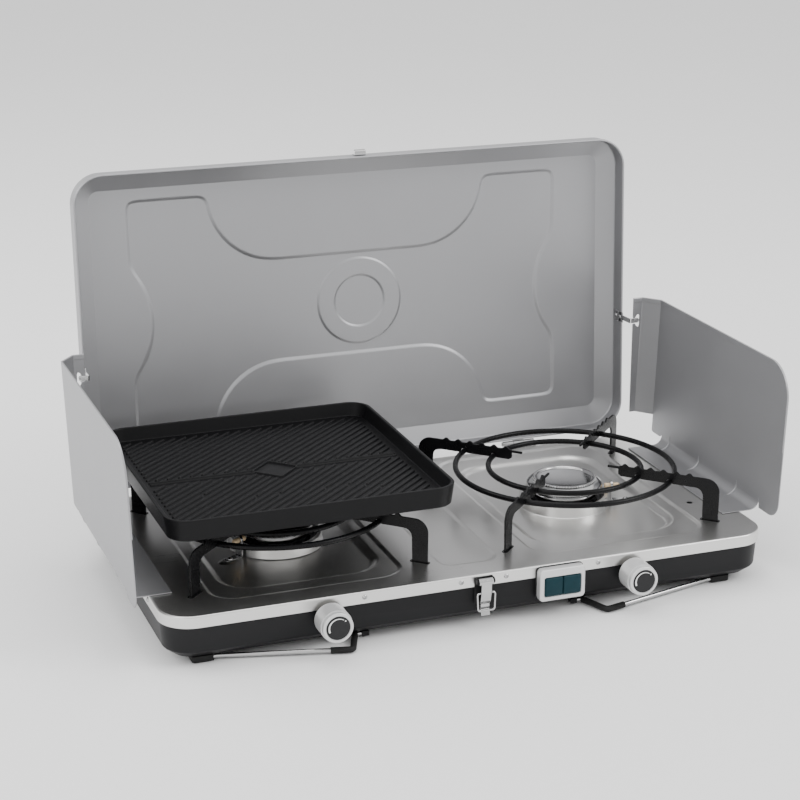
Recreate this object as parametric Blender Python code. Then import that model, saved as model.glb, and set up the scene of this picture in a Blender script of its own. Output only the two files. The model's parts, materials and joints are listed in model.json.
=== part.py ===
"""Two-burner camping stove with lid, windshields, pan supports and griddle.

Metres, +Z up, +X to the right of someone facing the knobs, who stands at -Y.
Below, "stove space" has x = 0 in the middle, y = 0 at the hob plate's front edge
and z = 0 on the table. The empty "stove" moves it so that the origin is the
bottom centre of the whole object.
"""

import bpy
import bmesh
import math
from mathutils import Matrix, Vector

# ---------------------------------------------------------------- driving dimensions
GAP = 0.0003                 # clearance between touching pieces
WIDTH = 0.590                # hob plate
DEPTH = 0.306
PLATE_TOP = 0.050            # height of the hob plate above the table
PLATE_RADIUS = 0.030
PLATE_SHEET = 0.0008
LIP_HEIGHT = 0.011
MIDDLE_X = 0.0305            # half width of the pressed panel between the burners
MIDDLE_Y = (0.0275, 0.2905)
MIDDLE_DEPTH = 0.0012
BASIN_X = (0.0615, 0.2455)   # pressed basin round each burner
BASIN_Y = (0.0245, 0.2945)
BASIN_DEPTH = 0.0015         # basin below the plate, and well below the basin
WELL_X = (0.0735, 0.2300)
WELL_Y = (0.0460, 0.2720)
WELL_DEPTH = 0.0040

PAN_INSET = 0.0012           # pan wall inside the plate's lip
PAN_SHEET = 0.0008
PAN_BOTTOM = 0.0063
PAN_TOP = 0.0478             # clear of the plate's rounded edge
PAN_DRAFT = 0.0020           # wall leans in this much down to the chamfer
PAN_CHAMFER = (0.0105, 0.0145)   # inset of the bottom edge, height where it starts

BURNER_X = 0.1498
BURNER_Y = 0.1531
CROWN_RADIUS = 0.0376
CROWN_TOP = 0.0725
COLLAR_RADIUS = 0.044
COLLAR_TOP = 0.0560
ELECTRODE_Z = 0.061
ELECTRODE_ANGLE = {"left": 209, "right": -15}

RING_WIRE = 0.00275          # wire radius
RING_RADII = {"outer": 0.108, "inner": 0.0755}
RING_Z = 0.0825
ARM_FOOT = 0.150             # distance of an arm's leg from the burner's centre
ARM_THICK = 0.002
ARM_TOP = 0.0918
ARM_BOTTOM = 0.0813
BUMP = 0.0025
ARM_LEG_WIDTH = 0.016
ARM_LEG_END = 0.040
SUPPORT_TOP = ARM_TOP + BUMP

GRIDDLE_X = (-0.280, -0.008)
GRIDDLE_Y = (0.035, 0.303)
GRIDDLE_RIM = 0.124
GRIDDLE_FLOOR = 0.111
GRIDDLE_UNDER = 0.106
GRIDDLE_SKIRT = 0.104

LID_HALF = 0.292
LID_BOTTOM = 0.0065          # along the lid, from the plate's top
LID_TOP = 0.3215
LID_Y = 0.3108
LID_LEAN = math.radians(3.0)
LID_DEPTH = 0.0307
LID_WALL = 0.025
LID_SHEET = 0.0008
HINGE_Y = 0.313
HINGE_Z = 0.0525
HINGE_X = 0.170
BARREL_RADIUS = 0.0028

SHIELD_FOOT_X = 0.3145       # outer face of the windshield, low and high
SHIELD_TOP_X = 0.320
SHIELD_Y = (0.020, 0.283)
SHIELD_LOW = 0.052
SHIELD_TOP = 0.204
SHIELD_PANEL_LOW = 0.077     # lower edge of the rear panels
SHIELD_SHEET = 0.0010
FLANGE_Y = (0.056, 0.260)
FLANGE_X = 0.2745
RETURN_Y = 0.2995
RETURN_X = 0.2945
HOOK_Z = 0.179

KNOB_X = 0.148
KNOB_Z = 0.032
KNOB_FRONT = -0.028
KNOB_RADIUS = 0.01425        # front ring, and the grip behind it
GRIP_RADIUS = 0.0148
STEM_RADIUS = 0.0030
VALVE_RADIUS = 0.009
GAS_PIPE = 0.0035
INLET_X = 0.215
INLET_Z = 0.026

BEZEL_X = (0.052, 0.0975)
BEZEL_Z = (0.0175, 0.0485)
BEZEL_FRONT = -0.009
BUTTON = (0.0178, 0.0181)
BUTTON_Z = 0.03155
WINDOW = ((0.0561, 0.0934), (0.0222, 0.0409))   # hole behind the buttons, x and z

LATCH_HALF = 0.009
LATCH_Y = -0.0045
LATCH_Z = 0.0445
LOOP_Z = 0.0345
LOOP_WIRE = 0.0009

WIRE = 0.0021                # wire legs
WIRE_Z = 0.0031
SLEEVE = 0.0029
LEG_AXIS_Y = 0.0160
LEG_CORNER_Y = -0.0140
LEG_CORNER_X = {"left": 0.130, "right": 0.118}
LEG_OUTER_X = {"left": 0.246, "right": 0.2375}
FOOT_WIDTH = 0.0200
FOOT_Y = ((0.0125, 0.0325), (0.275, 0.294))
FOOT_TOP = PAN_BOTTOM - GAP

Y_REAR = LID_Y + (LID_TOP - 0.022) * math.sin(LID_LEAN) + LID_DEPTH * math.cos(LID_LEAN)
Y_MID = (KNOB_FRONT + Y_REAR) / 2

for old in list(bpy.data.objects):
    bpy.data.objects.remove(old, do_unlink=True)

stove = bpy.data.objects.new("stove", None)
stove.location = (0, -Y_MID, 0)
bpy.context.collection.objects.link(stove)


# ---------------------------------------------------------------- materials
def make_material(name, colour, roughness, metallic):
    material = bpy.data.materials.new(name)
    material.use_nodes = True
    shader = material.node_tree.nodes["Principled BSDF"]
    shader.inputs["Base Color"].default_value = (*colour, 1)
    shader.inputs["Roughness"].default_value = roughness
    shader.inputs["Metallic"].default_value = metallic
    material.diffuse_color = (*colour, 1)
    return material


STEEL = make_material("stainless_steel", (0.45, 0.43, 0.41), 0.32, 1.0)
CHROME = make_material("chrome", (0.62, 0.62, 0.62), 0.12, 1.0)
BLACK = make_material("black_paint", (0.018, 0.018, 0.019), 0.42, 0.0)
SILVER = make_material("silver_paint", (0.36, 0.36, 0.37), 0.40, 0.55)
ENAMEL = make_material("black_enamel", (0.012, 0.012, 0.013), 0.35, 0.0)
CAST = make_material("nonstick_cast", (0.024, 0.024, 0.026), 0.55, 0.0)
BRASS = make_material("brass", (0.55, 0.40, 0.16), 0.35, 1.0)
GAS_TUBE = make_material("gas_tube", (0.60, 0.60, 0.61), 0.35, 1.0)
CERAMIC = make_material("ceramic", (0.72, 0.62, 0.48), 0.45, 0.0)
RUBBER = make_material("rubber", (0.012, 0.012, 0.012), 0.70, 0.0)
KNOB_PLASTIC = make_material("silver_plastic", (0.62, 0.62, 0.63), 0.35, 0.3)
BUTTON_PLASTIC = make_material("teal_plastic", (0.012, 0.045, 0.056), 0.45, 0.0)
BLACK_PLASTIC = make_material("black_plastic", (0.02, 0.02, 0.02), 0.50, 0.0)


# ---------------------------------------------------------------- modelling helpers
def add_object(name, bm, material, origin=(0, 0, 0), parent=None, crease=40):
    """Turn a bmesh in stove space into an object whose origin is at the given point."""
    bmesh.ops.remove_doubles(bm, verts=bm.verts, dist=1e-7)
    bmesh.ops.recalc_face_normals(bm, faces=bm.faces)
    bmesh.ops.translate(bm, verts=bm.verts, vec=-Vector(origin))
    mesh = bpy.data.meshes.new(name)
    bm.to_mesh(mesh)
    bm.free()
    mesh.shade_smooth()
    mesh.set_sharp_from_angle(angle=math.radians(crease))
    mesh.materials.append(material)
    obj = bpy.data.objects.new(name, mesh)
    obj.location = origin
    obj.parent = parent or stove
    bpy.context.collection.objects.link(obj)
    return obj


def combine(obj, tool_mesh, operation, tool_name):
    """Cut obj with, or join it to, a bmesh in stove space."""
    tool = add_object(tool_name, tool_mesh, BLACK)
    tool.hide_render = True
    tool.display_type = "WIRE"
    modifier = obj.modifiers.new(tool_name, "BOOLEAN")
    modifier.operation = operation
    modifier.solver = "EXACT"
    modifier.object = tool


def rounded_rect(x_range, y_range, radius, steps=5, inset=0.0):
    """Points of a rounded rectangle, counter-clockwise, the same count for any inset."""
    x0, x1 = x_range[0] + inset, x_range[1] - inset
    y0, y1 = y_range[0] + inset, y_range[1] - inset
    r = max(radius - inset, 0.0012)
    corners = ((x1 - r, y0 + r, -90), (x1 - r, y1 - r, 0), (x0 + r, y1 - r, 90), (x0 + r, y0 + r, 180))
    points = []
    for cx, cy, start in corners:
        for k in range(steps + 1):
            a = math.radians(start + 90 * k / steps)
            points.append((cx + r * math.cos(a), cy + r * math.sin(a)))
    return points


def circle(cx, cy, radius, count, start=-math.pi / 2):
    return [(cx + radius * math.cos(start + 2 * math.pi * k / count),
             cy + radius * math.sin(start + 2 * math.pi * k / count)) for k in range(count)]


def loop_at(bm, outline, height, matrix=Matrix()):
    return [bm.verts.new(matrix @ Vector((x, y, height))) for x, y in outline]


def bridge(bm, first, second):
    count = len(first)
    for k in range(count):
        n = (k + 1) % count
        bm.faces.new((first[k], first[n], second[n], second[k]))


def loft(bm, loops, closed=False):
    """Skin a row of loops; capped at both ends, or joined into a ring."""
    for first, second in zip(loops, loops[1:]):
        bridge(bm, first, second)
    if closed:
        bridge(bm, loops[-1], loops[0])
    else:
        bm.faces.new(loops[0])
        bm.faces.new(loops[-1])


def add_tray(bm, x_range, y_range, radius, levels, matrix=Matrix(), steps=5):
    """Closed tray from (inset, height) levels that run down one side and up the other."""
    loops = [loop_at(bm, rounded_rect(x_range, y_range, radius, steps, inset), height, matrix)
             for inset, height in levels]
    loft(bm, loops)


def add_box(bm, x_range, y_range, z_range, matrix=Matrix()):
    corners = [(x_range[0], y_range[0]), (x_range[1], y_range[0]),
               (x_range[1], y_range[1]), (x_range[0], y_range[1])]
    loft(bm, [loop_at(bm, corners, z, matrix) for z in z_range])


def add_prism(bm, outline, low, high, matrix=Matrix()):
    loft(bm, [loop_at(bm, outline, low, matrix), loop_at(bm, outline, high, matrix)])


def add_turned(bm, profile, matrix=Matrix(), count=32, closed=False):
    """Turn a profile of (radius, height) about the matrix's Z axis."""
    rings = []
    for radius, height in profile:
        if radius < 1e-9:
            rings.append(bm.verts.new(matrix @ Vector((0, 0, height))))
        else:
            rings.append(loop_at(bm, circle(0, 0, radius, count), height, matrix))
    pairs = list(zip(rings, rings[1:]))
    if closed:
        pairs.append((rings[-1], rings[0]))
    for first, second in pairs:
        if isinstance(first, list) and isinstance(second, list):
            bridge(bm, first, second)
        elif isinstance(first, list) or isinstance(second, list):
            pole, ring = (second, first) if isinstance(first, list) else (first, second)
            for k in range(count):
                bm.faces.new((pole, ring[k], ring[(k + 1) % count]))


def along_y(x, y, z):
    """Matrix whose Z axis points along +Y from the given point."""
    return Matrix.Translation((x, y, z)) @ Matrix.Rotation(-math.pi / 2, 4, "X")


def along_x(x, y, z):
    """Matrix whose Z axis points along +X from the given point."""
    return Matrix.Translation((x, y, z)) @ Matrix.Rotation(math.pi / 2, 4, "Y")


def yz_plane(x):
    """Matrix for outlines given as (y, z), extruded along X from the given x."""
    return Matrix(((0, 0, 1, x), (1, 0, 0, 0), (0, 1, 0, 0), (0, 0, 0, 1)))


def rounded_path(corners, radius, steps=5):
    """Replace each inner corner of a route by an arc."""
    corners = [Vector(c) for c in corners]
    path = [corners[0]]
    for before, corner, after in zip(corners, corners[1:], corners[2:]):
        a = (before - corner).normalized()
        b = (after - corner).normalized()
        half = a.angle(b) / 2
        reach = radius / math.tan(half)
        centre = corner + (a + b).normalized() * (radius / math.sin(half))
        start = corner + a * reach - centre
        end = corner + b * reach - centre
        turn = start.angle(end)
        for k in range(steps + 1):
            part = turn * k / steps
            path.append(centre + (start * math.sin(turn - part) + end * math.sin(part)) / math.sin(turn))
    path.append(corners[-1])
    return path


def path_frames(path):
    """A pair of side vectors at each point, turned as little as possible."""
    side = None
    frames = []
    for k, point in enumerate(path):
        ahead = path[min(k + 1, len(path) - 1)] - point
        behind = point - path[max(k - 1, 0)]
        tangent = (ahead.normalized() + behind.normalized()).normalized()
        if side is None:
            side = tangent.orthogonal()
        side = (side - tangent * side.dot(tangent)).normalized()
        frames.append((point, side.copy(), tangent.cross(side)))
    return frames


def add_wire(bm, path, radius, count=8, bore=0.0):
    """Round wire along a path, or a sleeve when a bore is given."""
    def rings(r):
        return [[bm.verts.new(p + (a * math.cos(t) + b * math.sin(t)) * r)
                 for t in (2 * math.pi * k / count for k in range(count))]
                for p, a, b in path_frames(path)]
    outer = rings(radius)
    if bore:
        loft(bm, outer + rings(bore)[::-1], closed=True)
    else:
        loft(bm, outer)


def lid_matrix():
    """Lid space: x across, y into the lid from its rim, z up along the lid."""
    return Matrix.Translation((0, LID_Y, PLATE_TOP)) @ Matrix.Rotation(-LID_LEAN, 4, "X")


LID_HINGE = (0, HINGE_Y, HINGE_Z)
SIDES = (("left", -1), ("right", 1))


# ---------------------------------------------------------------- base
def fill_between(bm, rims):
    """Fill the flat region bounded by the given loops."""
    edges = []
    for rim in rims:
        for k in range(len(rim)):
            pair = (rim[k], rim[(k + 1) % len(rim)])
            edges.append(bm.edges.get(pair) or bm.edges.new(pair))
    bmesh.ops.triangle_fill(bm, use_beauty=True, use_dissolve=False, edges=edges)


def pressed_panel(bm, outline, top, drop, width=0.004):
    """Sloping edge of a pressed panel: its rim and its floor loop."""
    rim = loop_at(bm, rounded_rect(*outline), top)
    floor = loop_at(bm, rounded_rect(*outline, inset=width), top - drop)
    bridge(bm, rim, floor)
    return rim, floor


def build_hob_plate():
    bm = bmesh.new()
    steps = 5
    count = 4 * (steps + 1)
    edge = 0.0015
    outer = ((-WIDTH / 2, WIDTH / 2), (0, DEPTH), PLATE_RADIUS, steps)
    loops = [loop_at(bm, rounded_rect(*outer), PLATE_TOP - LIP_HEIGHT),
             loop_at(bm, rounded_rect(*outer), PLATE_TOP - edge),
             loop_at(bm, rounded_rect(*outer, inset=edge), PLATE_TOP)]
    for first, second in zip(loops, loops[1:]):
        bridge(bm, first, second)
    middle = ((-MIDDLE_X, MIDDLE_X), MIDDLE_Y, 0.015, steps)
    rim, floor = pressed_panel(bm, middle, PLATE_TOP, MIDDLE_DEPTH)
    bm.faces.new(floor)
    rims = [loops[-1], rim]
    sunk = PLATE_TOP - BASIN_DEPTH - WELL_DEPTH
    for side in (-1, 1):
        x = side * BURNER_X
        basin = (sorted((side * BASIN_X[0], side * BASIN_X[1])), BASIN_Y, 0.025, steps)
        rim, floor = pressed_panel(bm, basin, PLATE_TOP, BASIN_DEPTH)
        rims.append(rim)
        well = (sorted((side * WELL_X[0], side * WELL_X[1])), WELL_Y, 0.030, steps)
        well_rim, well_floor = pressed_panel(bm, well, PLATE_TOP - BASIN_DEPTH, WELL_DEPTH, 0.008)
        fill_between(bm, [floor, well_rim])
        rows = []
        for radius, height in ((COLLAR_RADIUS + 0.0022, sunk), (COLLAR_RADIUS + 0.0004, sunk + 0.0015),
                               (COLLAR_RADIUS, COLLAR_TOP - 0.0010), (COLLAR_RADIUS - 0.0006, COLLAR_TOP),
                               (COLLAR_RADIUS - 0.0025, COLLAR_TOP)):
            rows.append(loop_at(bm, circle(x, BURNER_Y, radius, count), height))
        for first, second in zip(rows, rows[1:]):
            bridge(bm, first, second)
        fill_between(bm, [well_floor, rows[0]])
    fill_between(bm, rims)
    plate = add_object("hob_plate", bm, STEEL)
    flat = max(plate.data.polygons, key=lambda face: face.area)
    if flat.normal.z < 0:
        plate.data.flip_normals()
    sheet = plate.modifiers.new("sheet", "SOLIDIFY")
    sheet.thickness = PLATE_SHEET
    sheet.offset = -1
    sheet.use_even_offset = True

    cuts = bmesh.new()
    for side in (-1, 1):
        for angle in (45, 135, 225, 315):
            turn = Matrix.Translation((side * BURNER_X, BURNER_Y, 0)) @ Matrix.Rotation(math.radians(angle), 4, "Z")
            add_box(cuts, (ARM_FOOT - 0.0086, ARM_FOOT + 0.0086), (-0.0016, 0.0016),
                    (PLATE_TOP - 0.010, PLATE_TOP + 0.005), turn)
    add_turned(cuts, ((0, -0.01), (0.003, -0.01), (0.003, 0.01), (0, 0.01)),
               Matrix.Translation((0.260, 0.096, PLATE_TOP)), count=16)
    add_box(cuts, (-LATCH_HALF - GAP, LATCH_HALF + GAP), (-0.003, 0.0045), (0.030, 0.0482))
    add_box(cuts, WINDOW[0], (-0.003, 0.0045), (0.030, WINDOW[1][1]))
    combine(plate, cuts, "DIFFERENCE", "hob_plate_cuts")


def build_base_pan():
    bm = bmesh.new()
    edge, start = PAN_CHAMFER
    low = PAN_INSET + PAN_DRAFT
    levels = ((low + edge, PAN_BOTTOM), (low, start), (PAN_INSET, PAN_TOP),
              (PAN_INSET + PAN_SHEET, PAN_TOP), (low + PAN_SHEET, start + 0.0003),
              (low + edge + 0.0004, PAN_BOTTOM + PAN_SHEET))
    add_tray(bm, (-WIDTH / 2, WIDTH / 2), (0, DEPTH), PLATE_RADIUS, levels)
    pan = add_object("base_pan", bm, BLACK)
    cuts = bmesh.new()
    for _, side in SIDES:
        add_turned(cuts, ((0, -0.01), (0.005, -0.01), (0.005, 0.01), (0, 0.01)),
                   along_y(side * KNOB_X, 0, KNOB_Z), count=24)
    add_turned(cuts, ((0, -0.01), (0.0055, -0.01), (0.0055, 0.01), (0, 0.01)),
               along_y(INLET_X, DEPTH, INLET_Z), count=24)
    add_box(cuts, WINDOW[0], (-0.003, 0.0065), WINDOW[1])
    combine(pan, cuts, "DIFFERENCE", "base_pan_cuts")


def build_feet():
    for name, side in SIDES:
        near = LEG_OUTER_X[name] + 0.0030
        for row, (y0, y1) in zip(("front", "rear"), FOOT_Y):
            bm = bmesh.new()
            x0, x1 = sorted((side * near, side * (near + FOOT_WIDTH)))
            add_tray(bm, (x0, x1), (y0, y1), 0.002, ((0.0006, 0), (0, 0.0006), (0, FOOT_TOP)), steps=2)
            foot = add_object(f"foot_{row}_{name}", bm, RUBBER)
            if row == "front":
                hole = bmesh.new()
                add_turned(hole, ((0, -0.002), (0.0024, -0.002), (0.0024, 0.0082), (0, 0.0082)),
                           along_x(0, 0, 0), count=12)
                turn = Matrix.Scale(side, 4, (1, 0, 0))
                place = Matrix.Translation((side * near, LEG_AXIS_Y, WIRE_Z))
                bmesh.ops.transform(hole, matrix=place @ turn, verts=hole.verts)
                combine(foot, hole, "DIFFERENCE", f"foot_hole_{name}")


def leg_route(name, side):
    """The wire leg's corners from its outer pin round to its inner pin."""
    outer, corner = LEG_OUTER_X[name], LEG_CORNER_X[name]
    corners = ((outer + 0.0105, LEG_AXIS_Y), (outer, LEG_AXIS_Y), (corner, LEG_CORNER_Y),
               (corner - 0.012, LEG_AXIS_Y), (corner - 0.0235, LEG_AXIS_Y))
    return [Vector((side * x, y, WIRE_Z)) for x, y in corners]


def build_wire_legs():
    for name, side in SIDES:
        route = leg_route(name, side)
        path = rounded_path(route, 0.004)
        bm = bmesh.new()
        add_wire(bm, path, WIRE)
        axis = (side * LEG_OUTER_X[name], LEG_AXIS_Y, WIRE_Z)
        leg = add_object(f"wire_leg_{name}", bm, CHROME, axis)

        corner = route[2]
        before = corner + (route[1] - corner).normalized() * 0.020
        after = corner + (route[3] - corner).normalized() * 0.013
        sleeve = bmesh.new()
        add_wire(sleeve, rounded_path((before, corner, after), 0.004), SLEEVE, bore=WIRE + GAP)
        rubber = add_object(f"leg_sleeve_{name}", sleeve, RUBBER, axis)
        rubber.parent = leg
        rubber.location = (0, 0, 0)

        clip = bmesh.new()
        near = LEG_CORNER_X[name] - 0.0245
        x0, x1 = sorted((side * near, side * (near + 0.0065)))
        top = FOOT_TOP
        arch = [(LEG_AXIS_Y + 0.0024 * math.cos(a), WIRE_Z + 0.0024 * math.sin(a))
                for a in (math.pi * k / 6 for k in range(7))]
        outline = [(LEG_AXIS_Y + 0.0034, 0.0012), (LEG_AXIS_Y + 0.0034, top - 0.0010),
                   (LEG_AXIS_Y + 0.0085, top - 0.0010), (LEG_AXIS_Y + 0.0085, top),
                   (LEG_AXIS_Y - 0.0034, top), (LEG_AXIS_Y - 0.0034, 0.0012),
                   (LEG_AXIS_Y - 0.0024, 0.0012)] + arch[::-1] + [(LEG_AXIS_Y + 0.0024, 0.0012)]
        add_prism(clip, outline, 0, x1 - x0, yz_plane(x0))
        add_object(f"leg_clip_{name}", clip, CHROME)


# ---------------------------------------------------------------- burners and gas train
def build_burners():
    for name, side in SIDES:
        centre = Matrix.Translation((side * BURNER_X, BURNER_Y, 0))
        head = ((0, 0.022), (0.022, 0.022), (0.026, 0.025), (0.026, 0.046), (0.0335, 0.056),
                (0.0335, 0.060), (0.0350, 0.0612), (CROWN_RADIUS, 0.0640), (CROWN_RADIUS, 0.0705),
                (CROWN_RADIUS - 0.0012, CROWN_TOP), (0.0275, CROWN_TOP), (0.0266, 0.0712),
                (0.0266, 0.0645), (0, 0.0645))
        bm = bmesh.new()
        add_turned(bm, head, centre, count=32)
        add_object(f"burner_head_{name}", bm, CHROME)

        cap = ((0, 0.0648), (0.0235, 0.0648), (0.0258, 0.0665), (0.0258, 0.0695), (0.0250, 0.0704),
               (0.0225, 0.0704), (0.0130, 0.0690), (0, 0.0684))
        bm = bmesh.new()
        add_turned(bm, cap, centre, count=32)
        add_object(f"burner_cap_{name}", bm, CHROME)

        turn = Matrix.Rotation(math.radians(ELECTRODE_ANGLE[name]), 4, "Z")
        aim = Matrix.Translation((side * BURNER_X, BURNER_Y, ELECTRODE_Z)) @ turn
        rod = ((0, 0.0385), (0.0006, 0.0385), (0.0006, 0.0405), (0.0018, 0.0405), (0.0024, 0.0415),
               (0.0024, 0.0545), (0.0016, 0.0555), (0, 0.0555))
        bm = bmesh.new()
        add_turned(bm, rod, aim @ Matrix.Rotation(math.pi / 2, 4, "Y"), count=12)
        add_object(f"electrode_{name}", bm, CERAMIC)

        tube = ((0.0095, 0.0400), (0.0075, 0.0480), (0.0075, 0.1267), (0.0067, 0.1267),
                (0.0067, 0.0480), (0.0087, 0.0400))
        bm = bmesh.new()
        add_turned(bm, tube, along_y(side * BURNER_X, 0, 0.0315), count=16, closed=True)
        add_object(f"mixing_tube_{name}", bm, STEEL)


def build_gas_train():
    for name, side in SIDES:
        axis = along_y(side * KNOB_X, 0, KNOB_Z)
        valve = ((STEM_RADIUS + GAP, 0.006), (0.0065, 0.006), (0.0065, 0.010), (VALVE_RADIUS, 0.0105),
                 (VALVE_RADIUS, 0.032), (0.004, 0.034), (0.004, 0.0385), (0, 0.0385), (0, 0.0285),
                 (STEM_RADIUS + GAP, 0.0285))
        bm = bmesh.new()
        add_turned(bm, valve, axis, count=16, closed=True)
        add_object(f"gas_valve_{name}", bm, BRASS)

    pipe_z = KNOB_Z - VALVE_RADIUS - GAP - GAS_PIPE
    route = ((-0.160, 0.021, pipe_z), (INLET_X, 0.021, pipe_z), (INLET_X, 0.250, pipe_z),
             (INLET_X, 0.266, INLET_Z), (INLET_X, 0.280, INLET_Z))
    bm = bmesh.new()
    add_wire(bm, rounded_path(route, 0.010), GAS_PIPE)
    add_object("gas_manifold", bm, GAS_TUBE)

    inlet = ((0, 0.2803), (0.007, 0.2803), (0.007, 0.2930), (0.0052, 0.2940), (0.0052, 0.3075),
             (0.0070, 0.3075), (0.0070, 0.3110), (0.0040, 0.3115), (0.0048, 0.3150), (0.0040, 0.3190),
             (0.0048, 0.3200), (0.0036, 0.3260), (0.0024, 0.3260), (0.0024, 0.2900), (0, 0.2900))
    bm = bmesh.new()
    add_turned(bm, inlet, along_y(INLET_X, 0, INLET_Z), count=16)
    add_object("gas_inlet", bm, BRASS)


# ---------------------------------------------------------------- controls
def build_knobs():
    face = KNOB_FRONT + 0.0005
    bore = STEM_RADIUS + GAP
    for name, side in SIDES:
        axis = along_y(side * KNOB_X, 0, KNOB_Z)
        stem = ((0, -0.0157), (STEM_RADIUS, -0.0157), (STEM_RADIUS, 0.0240), (0, 0.0240))
        bm = bmesh.new()
        add_turned(bm, stem, axis, count=12)
        add_object(f"valve_stem_{name}", bm, BRASS, (side * KNOB_X, 0, KNOB_Z))

        knob = ((0, face), (0.0100, face), (0.0102, KNOB_FRONT), (KNOB_RADIUS - 0.0006, KNOB_FRONT),
                (KNOB_RADIUS, -0.0274), (KNOB_RADIUS, -0.0190), (GRIP_RADIUS, -0.0186),
                (GRIP_RADIUS, -0.0045), (bore, -0.0045), (bore, -0.0160), (0, -0.0160))
        bm = bmesh.new()
        add_turned(bm, knob, axis, count=28)
        add_object(f"knob_{name}", bm, KNOB_PLASTIC, (side * KNOB_X, -0.0045, KNOB_Z))


def build_igniter():
    middle = sum(BEZEL_X) / 2
    bm = bmesh.new()
    add_tray(bm, BEZEL_X, BEZEL_Z, 0.0035,
             ((0, GAP), (0, -BEZEL_FRONT - 0.0015), (0.0012, -BEZEL_FRONT)),
             Matrix.Rotation(math.pi / 2, 4, "X"), steps=4)
    bezel = add_object("igniter_bezel", bm, KNOB_PLASTIC)
    width = 2 * BUTTON[0] + 3 * GAP
    window = bmesh.new()
    z_range = (BUTTON_Z - BUTTON[1] / 2 - GAP, BUTTON_Z + BUTTON[1] / 2 + GAP)
    add_box(window, (middle - width / 2, middle + width / 2), (-0.02, 0.01), z_range)
    combine(bezel, window, "DIFFERENCE", "bezel_window")

    for name, side in SIDES:
        x0, x1 = sorted((middle + side * GAP / 2, middle + side * (GAP / 2 + BUTTON[0])))
        bm = bmesh.new()
        add_tray(bm, (x0, x1), (BUTTON_Z - BUTTON[1] / 2, BUTTON_Z + BUTTON[1] / 2), 0.0012,
                 ((0, -0.006), (0, 0.0095), (0.0010, 0.0108)), Matrix.Rotation(math.pi / 2, 4, "X"), steps=3)
        add_object(f"igniter_button_{name}", bm, BUTTON_PLASTIC, ((x0 + x1) / 2, 0, BUTTON_Z))

    bm = bmesh.new()
    add_tray(bm, (0.056, 0.093), (0.023, 0.040), 0.002, ((0, -0.036), (0, -0.0125)),
             Matrix.Rotation(math.pi / 2, 4, "X"), steps=2)
    add_object("piezo_unit", bm, BLACK_PLASTIC)


def build_latch():
    bm = bmesh.new()
    face = -0.0004
    ear = ((0.0009, 0.022), (0.0009, 0.0478), (face, 0.0478), (face, 0.022))
    add_prism(bm, ear, -LATCH_HALF, LATCH_HALF, yz_plane(0))
    plate = add_object("latch_plate", bm, BLACK)
    ears = bmesh.new()
    outline = [(0, LATCH_Z + 0.0032), (LATCH_Y, LATCH_Z + 0.0032)]
    outline += [(LATCH_Y - 0.0022 * math.sin(a), LATCH_Z + 0.0022 * math.cos(a))
                for a in (math.pi * k / 6 for k in range(1, 6))]
    outline += [(LATCH_Y, LATCH_Z - 0.0024), (0, LATCH_Z - 0.0044)]
    for x in (-0.0088, 0.0074):
        add_prism(ears, outline, 0, 0.0014, yz_plane(x))
    combine(plate, ears, "UNION", "latch_ears")

    pivot = (0, LATCH_Y, LATCH_Z)
    bm = bmesh.new()
    barrel = ((0, -0.0070), (0.0033, -0.0070), (0.0033, 0.0070), (0, 0.0070))
    add_turned(bm, barrel, along_x(*pivot), count=20)
    lever = add_object("latch_lever", bm, CHROME, pivot)
    strip = bmesh.new()
    front = [(LATCH_Y - 0.0030, LATCH_Z), (LATCH_Y - 0.0024, 0.0350), (LATCH_Y - 0.0008, 0.0260),
             (LATCH_Y + 0.0008, 0.0230), (LATCH_Y + 0.0008, 0.0160), (LATCH_Y - 0.0012, 0.0113)]
    back = [(y + 0.0010, z) for y, z in front[::-1]]
    add_prism(strip, front + back, -0.0050, 0.0050, yz_plane(0))
    combine(lever, strip, "UNION", "latch_strip")

    y = LATCH_Y - 0.0018
    bar = 0.0175
    route = ((-0.0054, y, LOOP_Z), (-0.0088, y, LOOP_Z), (-0.0084, y - 0.0006, bar),
             (0.0084, y - 0.0006, bar), (0.0088, y, LOOP_Z), (0.0054, y, LOOP_Z))
    bm = bmesh.new()
    add_wire(bm, rounded_path(route, 0.0016, 4), LOOP_WIRE)
    add_object("latch_loop", bm, CHROME, (0, y, LOOP_Z))


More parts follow.
